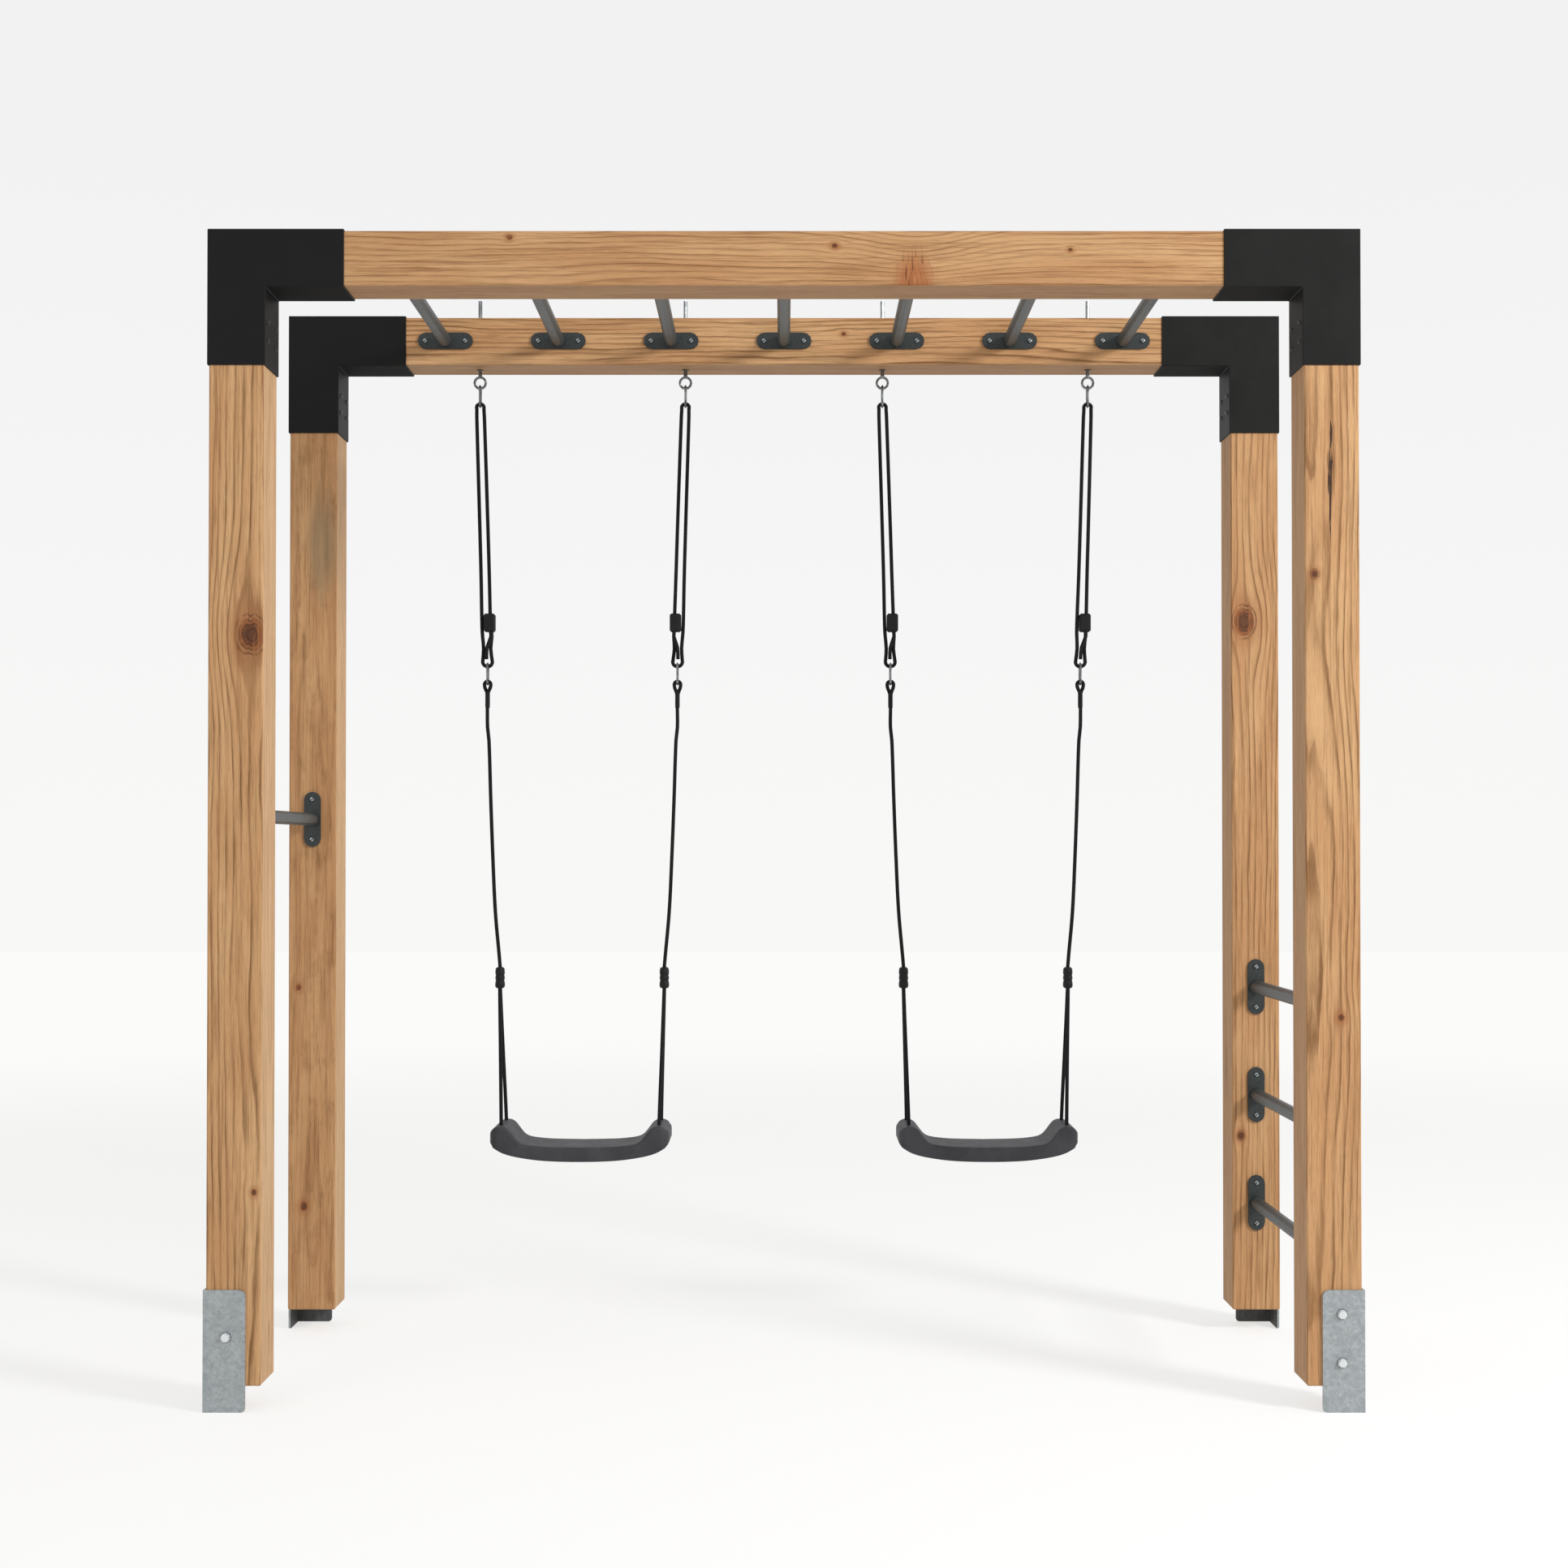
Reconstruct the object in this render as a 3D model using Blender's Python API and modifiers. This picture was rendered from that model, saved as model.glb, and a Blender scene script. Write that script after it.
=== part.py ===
"""Wooden swing set with monkey bars: two timber portals joined by steel rungs, and two rope swings.

Metres, +X to the right, +Y from the front portal to the rear one, +Z up, origin on the ground at the centre.
"""

import math

import bmesh
import bpy
from mathutils import Matrix, Vector

# Clearances between pieces that touch on the real object
GAP = 0.0003
BORE_CLEAR = 0.0004
TOUCH = 0.0002
FLAT_ANGLE = math.radians(0.3)
SEAT_OVERLAP = 0.0004

# Timber frame
TIMBER = 0.120
FRAME_WIDTH = 2.512
FRAME_TOP = 2.574
PORTAL_PITCH = 0.767
POST_LIFT = 0.056
TIMBER_EDGE = 0.003

# Corner brackets, square steel sleeves bent round each top corner
BRACKET_WALL = 0.003
BRACKET_FIT = 0.0005
BRACKET_REACH = 0.298
BRACKET_EDGE = 0.0012
BRACKET_ROW_LOW = 0.057
BRACKET_ROW_HIGH = 0.099
BRACKET_SCREW_SPREAD = 0.070

# Foot angles
ANGLE_LEG = 0.092
ANGLE_STEEL = 0.005
ANGLE_HEIGHT = 0.265
ANGLE_ROUND_TOP = 0.012
ANGLE_ROUND_BOTTOM = 0.008
FOOT_BOLT_INSET = 0.050
FOOT_BOLT_LOW = 0.108
FOOT_BOLT_MIDDLE = 0.163
FOOT_BOLT_HIGH = 0.213
FOOT_BOLT_HEX = 0.017
FOOT_BOLT_HEAD = 0.0065
FOOT_BOLT_RADIUS = 0.004
FOOT_BOLT_LENGTH = 0.060
FOOT_WASHER_RADIUS = 0.012
FOOT_WASHER_THICK = 0.0015

# Rungs, tubes with a stadium plate welded to each end
RUNG_RADIUS = 0.0165
RUNG_WALL = 0.0026
RUNG_SIDES = 10
RUNG_BORE_SIDES = 8
PLATE_LENGTH = 0.140
PLATE_WIDTH = 0.042
PLATE_THICK = 0.005
PLATE_HOLE_PITCH = 0.102
MONKEY_BARS = 7
MONKEY_BAR_INSET = 0.275
MONKEY_BAR_DROP = 0.060
LADDER_RUNGS = 3
LADDER_FIRST = 0.327
LADDER_PITCH = 0.273
SIDE_RUNG_HEIGHT = 1.297

# Wood screws with a domed socket head, for plates and brackets
SCREW_HEAD_RADIUS = 0.0065
SCREW_CROWN_RADIUS = 0.0051
SCREW_HEAD_HEIGHT = 0.0036
SCREW_RADIUS = 0.003
SCREW_LENGTH = 0.045

# Eye bolts through the rear beam
EYE_WIRE = 0.0035
EYE_OUTER = 0.018
EYE_RING_DROP = 0.034
EYE_SHANK = 0.005
EYE_STUB_RISE = 0.057
EYE_NUT_HEX = 0.017
EYE_NUT_HEIGHT = 0.008
EYE_WASHER_RADIUS = 0.0155
EYE_WASHER_THICK = 0.002
EYE_SHOULDER_RADIUS = 0.0085
EYE_SHOULDER_THICK = 0.003
EYE_SIDES = 8

# Snap hooks
HOOK_LENGTH = 0.060
HOOK_WIRE = 0.003
HOOK_TOP_BOW = 0.011
HOOK_LOW_BOW = 0.0081
HOOK_NOSE_BELOW = 0.003
GATE_RADIUS = 0.0024
GATE_PIVOT_RISE = 0.0055
GATE_PIN_RADIUS = 0.0011
GATE_SLOT_TOP = 0.0042
GATE_SLOT_REACH = 0.0060
HOOK_TONGUE = 0.0022
HOOK_TONGUE_ROOT = 0.0018
HOOK_END_BELOW = 0.0036

# Swings
SWING_INSET = 0.6189
EYE_OUT = 0.0635
LOW_HOOK_OUT = 0.0432
SPLITTER_OUT = 0.0100
LOW_HOOK_TOP = 1.7012
ROPE_RADIUS = 0.0047
ROPE_TURN = 0.00975
ROPE_TURN_STRAIGHT = 0.036
LOW_TURN = 0.0125
SPLICE_TURN = 0.0081

# Adjuster block on the doubled rope
BLOCK_OVER_HOOK = 0.1013
BLOCK_WIDTH = 0.029
BLOCK_DEPTH = 0.025
BLOCK_HEIGHT = 0.047
BLOCK_EDGE = 0.004
BLOCK_SHIFT = 0.0085
BLOCK_BORE_DEEP = 0.0056
BLOCK_BORE_SHIFT = -0.0025
BLOCK_BACK_SHIFT = 0.0035
BLOCK_LEAD = 0.013
BLOCK_END_HELD = 0.030
BLOCK_STAND_OFF = 0.0007
TAIL_OVER_HOOK = 0.0073

# Splitter where the rope becomes two strands
SPLITTER_MIDDLE = 0.8923
SPLITTER_HEIGHT = 0.054
SPLITTER_OVAL = 1.30
STRAND_HALF_PITCH = 0.0054
STRAND_SPLAY = 0.53
STRAND_END_HELD = 0.020

# Seat, a moulded strip with raised ends
SEAT_WIDTH = 0.454
SEAT_DEPTH = 0.170
SEAT_BOTTOM = 0.4316
SEAT_HOLE_REAR = 0.050
SEAT_HOLE_INSET = 0.0265
SEAT_CORNER = 0.024
SEAT_EDGE = 0.005
SEAT_ROPE_RISE = 0.0305
SEAT_ROPE_BEND = 0.012
SEAT_SLOT_HALF = 0.0056

# Worked out from the sizes above
POST_X = (FRAME_WIDTH - TIMBER) / 2
BAY_HALF = POST_X - TIMBER / 2
MONKEY_BAR_PITCH = 2 * (BAY_HALF - MONKEY_BAR_INSET) / (MONKEY_BARS - 1)
SWING_CENTRE = BAY_HALF - SWING_INSET
SEAT_HOLE_SPREAD = SEAT_WIDTH / 2 - SEAT_HOLE_INSET
SPLITTER_SPREAD = SEAT_HOLE_SPREAD + SPLITTER_OUT
LOW_HOOK_SPREAD = SEAT_HOLE_SPREAD + LOW_HOOK_OUT
EYE_SPREAD = SEAT_HOLE_SPREAD + EYE_OUT
PORTAL_Y = PORTAL_PITCH / 2
BEAM_BOTTOM = FRAME_TOP - TIMBER
EYE_RING_HEIGHT = BEAM_BOTTOM - EYE_RING_DROP
EYE_STUB_TOP = FRAME_TOP + EYE_STUB_RISE
BLOCK_MIDDLE = LOW_HOOK_TOP + BLOCK_OVER_HOOK
TAIL_END = LOW_HOOK_TOP + TAIL_OVER_HOOK
SLEEVE = TIMBER + 2 * (BRACKET_FIT + BRACKET_WALL)
PILOT_RADIUS = SCREW_RADIUS + GAP
BOLT_PILOT = FOOT_BOLT_RADIUS + GAP
RUNG_LENGTH = PORTAL_PITCH - TIMBER - 2 * GAP
EYE_RING_RADIUS = EYE_OUTER - EYE_WIRE
SWING_PIVOT = EYE_RING_HEIGHT - EYE_RING_RADIUS
TOP_HOOK_TOP = SWING_PIVOT + EYE_WIRE + GAP + 2 * HOOK_WIRE
ADJUST_APEX = TOP_HOOK_TOP - HOOK_LENGTH + 2 * HOOK_WIRE + GAP + ROPE_RADIUS
ADJUST_LOW = LOW_HOOK_TOP - 2 * HOOK_WIRE - GAP - ROPE_RADIUS
HANG_APEX = LOW_HOOK_TOP - HOOK_LENGTH + 2 * HOOK_WIRE + GAP + ROPE_RADIUS
SEAT_ROPE_LOW = SEAT_BOTTOM + SEAT_ROPE_RISE

CORNERS = [
    ("front_left", -1, -1),
    ("front_right", 1, -1),
    ("rear_left", -1, 1),
    ("rear_right", 1, 1),
]

# Each rope of a swing: name, side of the swing, and the side on which the strand passes its block
SWINGS = [
    ("left_swing", -1, [("a", -1, -1), ("b", 1, 1)]),
    ("right_swing", 1, [("a", -1, -1), ("b", 1, -1)]),
]


def clear_scene():
    for item in list(bpy.data.objects):
        bpy.data.objects.remove(item, do_unlink=True)


def new_collection(name):
    group = bpy.data.collections.new(name)
    bpy.context.scene.collection.children.link(group)
    return group


def new_material(name, colour, roughness, metallic):
    material = bpy.data.materials.new(name)
    material.use_nodes = True
    shader = material.node_tree.nodes["Principled BSDF"]
    shader.inputs["Base Color"].default_value = (*colour, 1)
    shader.inputs["Roughness"].default_value = roughness
    shader.inputs["Metallic"].default_value = metallic
    return material


clear_scene()
PARTS = new_collection("swing_set")
CUTTERS = new_collection("cutters")
WOOD = new_material("fir_timber", (0.56, 0.34, 0.17), 0.6, 0.0)
BLACK_STEEL = new_material("black_coated_steel", (0.02, 0.02, 0.02), 0.45, 0.3)
GREY_STEEL = new_material("hammered_grey_steel", (0.10, 0.11, 0.11), 0.4, 0.5)
ZINC = new_material("galvanised_steel", (0.45, 0.47, 0.48), 0.45, 1.0)
BRIGHT = new_material("bright_zinc", (0.62, 0.63, 0.64), 0.25, 1.0)
ROPE = new_material("black_rope", (0.012, 0.012, 0.013), 0.8, 0.0)
PLASTIC = new_material("black_plastic", (0.035, 0.035, 0.036), 0.55, 0.0)
SEAT = new_material("charcoal_plastic", (0.065, 0.065, 0.075), 0.5, 0.0)


def add_object(name, data, material=None, group=None, parent=None, at=(0, 0, 0)):
    """Links a new object, with its origin at the world point given."""
    item = bpy.data.objects.new(name, data)
    (group or PARTS).objects.link(item)
    here = Vector(at)
    if parent is not None:
        item.parent = parent
        here = here - Vector(parent["world"])
    item.location = here
    item["world"] = tuple(at)
    if material is not None and not data.materials:
        data.materials.append(material)
    if group is CUTTERS:
        item.hide_render = True
        item.display_type = "WIRE"
    return item


def add_empty(name, parent, at):
    item = add_object(name, None, parent=parent, at=at)
    item.empty_display_size = EYE_OUTER
    return item


def shade(mesh, angle=35):
    mesh.shade_smooth()
    mesh.set_sharp_from_angle(angle=math.radians(angle))


def finish_mesh(name, work):
    bmesh.ops.recalc_face_normals(work, faces=work.faces)
    mesh = bpy.data.meshes.new(name)
    work.to_mesh(mesh)
    work.free()
    return mesh


def box_mesh(name, low, high, edge=0.0, steps=1):
    """A box between two corners, with its edges rounded or chamfered."""
    work = bmesh.new()
    bmesh.ops.create_cube(work, size=1)
    low, high = Vector(low), Vector(high)
    bmesh.ops.scale(work, vec=high - low, verts=work.verts)
    bmesh.ops.translate(work, vec=(low + high) / 2, verts=work.verts)
    if edge:
        bmesh.ops.bevel(work, geom=work.edges[:], offset=edge, segments=steps, profile=0.5, affect="EDGES")
    return finish_mesh(name, work)


def cylinder_into(work, radius, low, high, sides, top_radius=None, turn=0.0):
    """A cylinder or cone along +Z, added to the work mesh."""
    made = bmesh.ops.create_cone(
        work,
        cap_ends=True,
        segments=sides,
        radius1=radius,
        radius2=radius if top_radius is None else top_radius,
        depth=high - low,
    )
    verts = made["verts"]
    bmesh.ops.rotate(work, verts=verts, matrix=Matrix.Rotation(turn, 3, "Z"))
    bmesh.ops.translate(work, verts=verts, vec=(0, 0, (low + high) / 2))
    return verts


def cylinder_mesh(name, radius, low, high, sides, top_radius=None, turn=0.0):
    work = bmesh.new()
    cylinder_into(work, radius, low, high, sides, top_radius, turn)
    return finish_mesh(name, work)


def outline_mesh(name, points, thick):
    """A flat outline in XY, filled, and as thick as given about Z = 0."""
    curve = bpy.data.curves.new(name, "CURVE")
    curve.dimensions = "2D"
    curve.fill_mode = "BOTH"
    curve.extrude = thick / 2
    spline = curve.splines.new("POLY")
    spline.points.add(len(points) - 1)
    for spot, (x, y) in zip(spline.points, points):
        spot.co = (x, y, 0, 1)
    spline.use_cyclic_u = True
    mesh = curve_to_mesh(name, curve)
    work = bmesh.new()
    work.from_mesh(mesh)
    bmesh.ops.dissolve_limit(work, angle_limit=FLAT_ANGLE, verts=work.verts, edges=work.edges)
    work.to_mesh(mesh)
    work.free()
    return mesh


def curve_to_mesh(name, curve):
    """The closed mesh of a curve, with its caps welded on."""
    holder = bpy.data.objects.new(name, curve)
    CUTTERS.objects.link(holder)
    graph = bpy.context.evaluated_depsgraph_get()
    mesh = bpy.data.meshes.new_from_object(holder.evaluated_get(graph))
    bpy.data.objects.remove(holder)
    bpy.data.curves.remove(curve)
    work = bmesh.new()
    work.from_mesh(mesh)
    bmesh.ops.remove_doubles(work, verts=work.verts, dist=0.00001)
    bmesh.ops.recalc_face_normals(work, faces=work.faces)
    work.to_mesh(mesh)
    work.free()
    return mesh


def tube_curve(name, points, radius, detail):
    curve = bpy.data.curves.new(name, "CURVE")
    curve.dimensions = "3D"
    curve.bevel_depth = radius
    curve.bevel_resolution = detail
    curve.use_fill_caps = True
    spline = curve.splines.new("POLY")
    spline.points.add(len(points) - 1)
    for spot, place in zip(spline.points, points):
        spot.co = (*place, 1)
    return curve


def moved(mesh, matrix, name=None):
    """A copy of a mesh, moved by a matrix."""
    copy = mesh.copy()
    copy.name = name or mesh.name
    copy.transform(matrix)
    if matrix.determinant() < 0:
        copy.flip_normals()
    return copy


def gather(name, pieces):
    """One mesh that holds several solids, for cutters: a mesh and where each copy of it goes."""
    work = bmesh.new()
    for mesh, matrix in pieces:
        work.from_mesh(moved(mesh, matrix))
    mesh = bpy.data.meshes.new(name)
    work.to_mesh(mesh)
    work.free()
    return mesh


def combine(target, tool_mesh, operation, name, at=None):
    """Cuts a mesh out of the target, joins it on, or keeps what they share."""
    place = target["world"] if at is None else at
    tool = add_object(name, tool_mesh, group=CUTTERS, parent=target.parent, at=place)
    change = target.modifiers.new(name, "BOOLEAN")
    change.operation = operation
    change.solver = "EXACT"
    change.object = tool
    return tool


def arc(centre, radius, start, end, steps):
    """Points of an arc in degrees, first and last included."""
    spots = []
    for k in range(steps + 1):
        angle = math.radians(start + (end - start) * k / steps)
        spots.append((centre[0] + radius * math.cos(angle), centre[1] + radius * math.sin(angle)))
    return spots


def smooth_route(route, most=0.20, turn=24.0):
    """Points read from a smooth curve through the route, close in bends and far apart where straight."""
    spots = [Vector(p) for p in route]
    first = spots[0] * 2 - spots[1]
    last = spots[-1] * 2 - spots[-2]
    spots = [first] + spots + [last]
    fine = []
    for k in range(1, len(spots) - 2):
        before, here, there, after = spots[k - 1 : k + 3]
        stretch = (there - here).length
        tangent_in = (there - before) * stretch / (stretch + (here - before).length)
        tangent_out = (after - here) * stretch / (stretch + (after - there).length)
        count = max(4, int(stretch / 0.001))
        for j in range(count):
            t = j / count
            fine.append(
                here * (2 * t**3 - 3 * t**2 + 1)
                + tangent_in * (t**3 - 2 * t**2 + t)
                + there * (3 * t**2 - 2 * t**3)
                + tangent_out * (t**3 - t**2)
            )
    fine.append(spots[-2])
    kept = [fine[0]]
    travelled, bent = 0.0, 0.0
    for k in range(1, len(fine) - 1):
        step = fine[k] - fine[k - 1]
        travelled += step.length
        bent += math.degrees(step.angle(fine[k + 1] - fine[k]))
        if bent >= turn or travelled >= most:
            kept.append(fine[k])
            travelled, bent = 0.0, 0.0
    kept.append(fine[-1])
    return kept


def timber(name, low, high):
    """A sawn beam or post between two corners, with its long edges eased."""
    return add_object(name, box_mesh(name, low, high, TIMBER_EDGE), WOOD)


def drill(target, spots, radius, label, sides=5):
    """Cuts blind or through holes in world coordinates: each is a start, a direction and a depth.

    The radius is that of the circle inside the hole's flats.
    """
    tool = cylinder_mesh("drill", radius / math.cos(math.pi / sides), 0, 1, sides)
    pieces = []
    for start, along, deep in spots:
        place = aim(Vector(start) - Vector(along) * TOUCH, along)
        pieces.append((tool, place @ Matrix.Diagonal((1, 1, deep + TOUCH, 1))))
    name = f"{target.name}_{label}"
    combine(target, gather(name, pieces), "DIFFERENCE", name, at=(0, 0, 0))


def aim(seat, along):
    """Places a piece made about +Z at a seat, pointing along a direction."""
    turn = Vector(along).to_track_quat("Z", "X").to_matrix().to_4x4()
    return Matrix.Translation(Vector(seat)) @ turn


# Where every screw and bolt goes: head seat, direction into the wood
def plate_screw_seats():
    """Screw seats of every rung plate, as (timber, seat, direction into the timber)."""
    half = PLATE_HOLE_PITCH / 2
    seats = []
    for side, beam in ((-1, "beam_front"), (1, "beam_rear")):
        face = side * (PORTAL_Y - TIMBER / 2 - GAP - PLATE_THICK)
        for k in range(MONKEY_BARS):
            x = monkey_bar_x(k)
            for shift in (-half, half):
                seats.append((beam, (x + shift, face, FRAME_TOP - MONKEY_BAR_DROP), (0, side, 0)))
    for side, end in ((-1, "front"), (1, "rear")):
        face = side * (PORTAL_Y - TIMBER / 2 - GAP - PLATE_THICK)
        for k in range(LADDER_RUNGS):
            z = LADDER_FIRST + k * LADDER_PITCH
            for shift in (-half, half):
                seats.append((f"post_{end}_right", (POST_X, face, z + shift), (0, side, 0)))
        for shift in (-half, half):
            seats.append((f"post_{end}_left", (-POST_X, face, SIDE_RUNG_HEIGHT + shift), (0, side, 0)))
    return seats


def monkey_bar_x(index):
    return (index - (MONKEY_BARS - 1) / 2) * MONKEY_BAR_PITCH


def bracket_screw_seats():
    """Screws of the brackets, as (corner, timber, seat, direction): four in the leg and two in the arm."""
    seats = []
    leg_end = FRAME_TOP + BRACKET_FIT + BRACKET_WALL - BRACKET_REACH
    for name, sx, sy in CORNERS:
        inner = sx * (POST_X - SLEEVE / 2)
        for rise in (BRACKET_ROW_LOW, BRACKET_ROW_HIGH):
            for shift in (-BRACKET_SCREW_SPREAD / 2, BRACKET_SCREW_SPREAD / 2):
                spot = (inner, sy * PORTAL_Y + shift, leg_end + rise)
                seats.append((name, "post_" + name, spot, (sx, 0, 0)))
        arm_x = sx * (POST_X + SLEEVE / 2 - BRACKET_REACH + BRACKET_ROW_LOW)
        top = FRAME_TOP + BRACKET_FIT + BRACKET_WALL
        beam = "beam_front" if sy < 0 else "beam_rear"
        for shift in (-BRACKET_SCREW_SPREAD / 2, BRACKET_SCREW_SPREAD / 2):
            seats.append((name, beam, (arm_x, sy * PORTAL_Y + shift, top), (0, 0, -1)))
    return seats


def foot_sides(sx, sy):
    """The flange with two bolts and the one with one: outward direction of each."""
    side_flange, end_flange = (sx, 0, 0), (0, sy, 0)
    if (sx, sy) == (1, -1):
        return end_flange, side_flange
    return side_flange, end_flange


def foot_bolt_seats():
    """Seats of the lag bolts on the outer faces of the foot angles."""
    seats = []
    out = TIMBER / 2 + GAP + ANGLE_STEEL
    across = out - FOOT_BOLT_INSET
    for name, sx, sy in CORNERS:
        two, one = foot_sides(sx, sy)
        for direction, heights in ((two, (FOOT_BOLT_LOW, FOOT_BOLT_HIGH)), (one, (FOOT_BOLT_MIDDLE,))):
            for z in heights:
                x = sx * POST_X + (direction[0] * out if direction[0] else sx * across)
                y = sy * PORTAL_Y + (direction[1] * out if direction[1] else sy * across)
                seats.append((name, (x, y, z), (-direction[0], -direction[1], 0)))
    return seats


def eye_places():
    places = []
    for _, swing_side, ropes in SWINGS:
        for _, side, _ in ropes:
            places.append((swing_side * SWING_CENTRE + side * EYE_SPREAD, PORTAL_Y))
    return places


def build_timber():
    half = TIMBER / 2
    work = {}
    for name, sx, sy in CORNERS:
        x, y = sx * POST_X, sy * PORTAL_Y
        post = timber("post_" + name, (x - half, y - half, POST_LIFT), (x + half, y + half, FRAME_TOP))
        work[post.name] = post
    inner = POST_X - half - GAP
    for name, sy in (("beam_front", -1), ("beam_rear", 1)):
        y = sy * PORTAL_Y
        work[name] = timber(name, (-inner, y - half, BEAM_BOTTOM), (inner, y + half, FRAME_TOP))
    pilots = {name: [] for name in work}
    for name, seat, along in plate_screw_seats():
        pilots[name].append((face_point(seat, along, PLATE_THICK + GAP), along, SCREW_LENGTH))
    for _, name, seat, along in bracket_screw_seats():
        pilots[name].append((face_point(seat, along, BRACKET_WALL + BRACKET_FIT), along, SCREW_LENGTH))
    for name, item in work.items():
        drill(item, pilots[name], PILOT_RADIUS, "pilots")
    bolts = {name: [] for name, _, _ in CORNERS}
    for name, seat, along in foot_bolt_seats():
        bolts[name].append((face_point(seat, along, ANGLE_STEEL + GAP), along, FOOT_BOLT_LENGTH))
    for name, spots in bolts.items():
        drill(work["post_" + name], spots, BOLT_PILOT, "bolt_pilots")
    eyes = [((x, y, BEAM_BOTTOM), (0, 0, 1), TIMBER + TOUCH) for x, y in eye_places()]
    drill(work["beam_rear"], eyes, EYE_SHANK + BORE_CLEAR, "eye_holes", sides=6)


def face_point(seat, along, deep):
    return tuple(Vector(seat) + Vector(along) * deep)


def sleeve_outline(inset, open_ends):
    """The bracket's side view about its outer top corner: the arm runs along -X and the leg down -Y."""
    reach = BRACKET_REACH + (TOUCH if open_ends else 0)
    far = SLEEVE - inset
    return [
        (-inset, -inset),
        (-reach, -inset),
        (-reach, -far),
        (-far, -far),
        (-far, -reach),
        (-inset, -reach),
    ]


def build_brackets(screw):
    """Each bracket with its own screws, which are one piece with it."""
    outer = outline_mesh("bracket_outer", sleeve_outline(0, False), SLEEVE)
    inner = outline_mesh("bracket_inner", sleeve_outline(BRACKET_WALL, True), SLEEVE - 2 * BRACKET_WALL)
    top = FRAME_TOP + BRACKET_FIT + BRACKET_WALL
    for name, sx, sy in CORNERS:
        place = (
            Matrix.Translation((sx * (POST_X + SLEEVE / 2), sy * PORTAL_Y, top))
            @ Matrix.Diagonal((sx, 1, 1, 1))
            @ Matrix.Rotation(math.radians(90), 4, "X")
        )
        shell = add_object("corner_bracket_" + name, moved(outer, place), BLACK_STEEL)
        ease = shell.modifiers.new("eased_edges", "BEVEL")
        ease.width = BRACKET_EDGE
        ease.segments = 1
        combine(shell, moved(inner, place), "DIFFERENCE", shell.name + "_hollow", at=(0, 0, 0))
        seats = [s for s in bracket_screw_seats() if s[0] == name]
        screws = [(screw, aim(seat, along)) for _, _, seat, along in seats]
        label = shell.name + "_screws"
        combine(shell, gather(label, screws), "UNION", label, at=(0, 0, 0))


def angle_mesh():
    """A foot angle with its heel at the origin, one flange along +X and the other along +Y."""
    wide, steel = ANGLE_LEG, ANGLE_STEEL
    plan = [(0, 0), (wide, 0), (wide, steel), (steel, steel), (steel, wide), (0, wide)]
    mesh = outline_mesh("angle", plan, ANGLE_HEIGHT)
    mesh.transform(Matrix.Translation((0, 0, ANGLE_HEIGHT / 2)))
    work = bmesh.new()
    work.from_mesh(mesh)
    for level, radius in ((0, ANGLE_ROUND_BOTTOM), (ANGLE_HEIGHT, ANGLE_ROUND_TOP)):
        free = [e for e in work.edges if on_free_corner(e, level)]
        bmesh.ops.bevel(work, geom=free, offset=radius, segments=2, profile=0.5, affect="EDGES")
    return finish_mesh("angle", work)


def on_free_corner(edge, level):
    """True for the end edge of a flange at a height: its far end's short side."""
    first, second = (v.co for v in edge.verts)
    flat = abs(first.z - level) < TOUCH and abs(second.z - level) < TOUCH
    ends = [abs(first[k] - ANGLE_LEG) < TOUCH and abs(second[k] - ANGLE_LEG) < TOUCH for k in (0, 1)]
    return flat and any(ends)


def build_feet(bolt):
    """Each foot angle with its own lag bolts, which are one piece with it."""
    angle = angle_mesh()
    out = TIMBER / 2 + GAP + ANGLE_STEEL
    for name, sx, sy in CORNERS:
        heel = (sx * (POST_X + out), sy * (PORTAL_Y + out), 0)
        mirror = Matrix.Translation(heel) @ Matrix.Diagonal((-sx, -sy, 1, 1))
        foot = add_object("foot_angle_" + name, moved(angle, mirror), ZINC)
        bolts = [(bolt, aim(seat, along)) for n, seat, along in foot_bolt_seats() if n == name]
        label = foot.name + "_bolts"
        combine(foot, gather(label, bolts), "UNION", label, at=(0, 0, 0))


def screw_mesh():
    """A wood screw seated at Z = 0: the tapered head below, the shank along +Z."""
    head = cylinder_mesh("screw", SCREW_CROWN_RADIUS, -SCREW_HEAD_HEIGHT, SEAT_OVERLAP, 8, SCREW_HEAD_RADIUS)
    shank = cylinder_mesh("screw_shank", SCREW_RADIUS, -SEAT_OVERLAP, SCREW_LENGTH, 5)
    return fused("screw", [head, shank])


def bolt_mesh():
    """A lag bolt on its washer, seated at Z = 0, with the shank along +Z."""
    lift = FOOT_WASHER_THICK + FOOT_BOLT_HEAD
    head = cylinder_mesh("lag_bolt", FOOT_BOLT_HEX / math.sqrt(3), -lift, -FOOT_WASHER_THICK + TOUCH, 6)
    washer = cylinder_mesh("lag_washer", FOOT_WASHER_RADIUS, -FOOT_WASHER_THICK, SEAT_OVERLAP, 9)
    shank = cylinder_mesh("lag_shank", FOOT_BOLT_RADIUS, -TOUCH, ANGLE_STEEL + FOOT_BOLT_LENGTH, 5)
    return fused("lag_bolt", [head, washer, shank])


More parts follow.
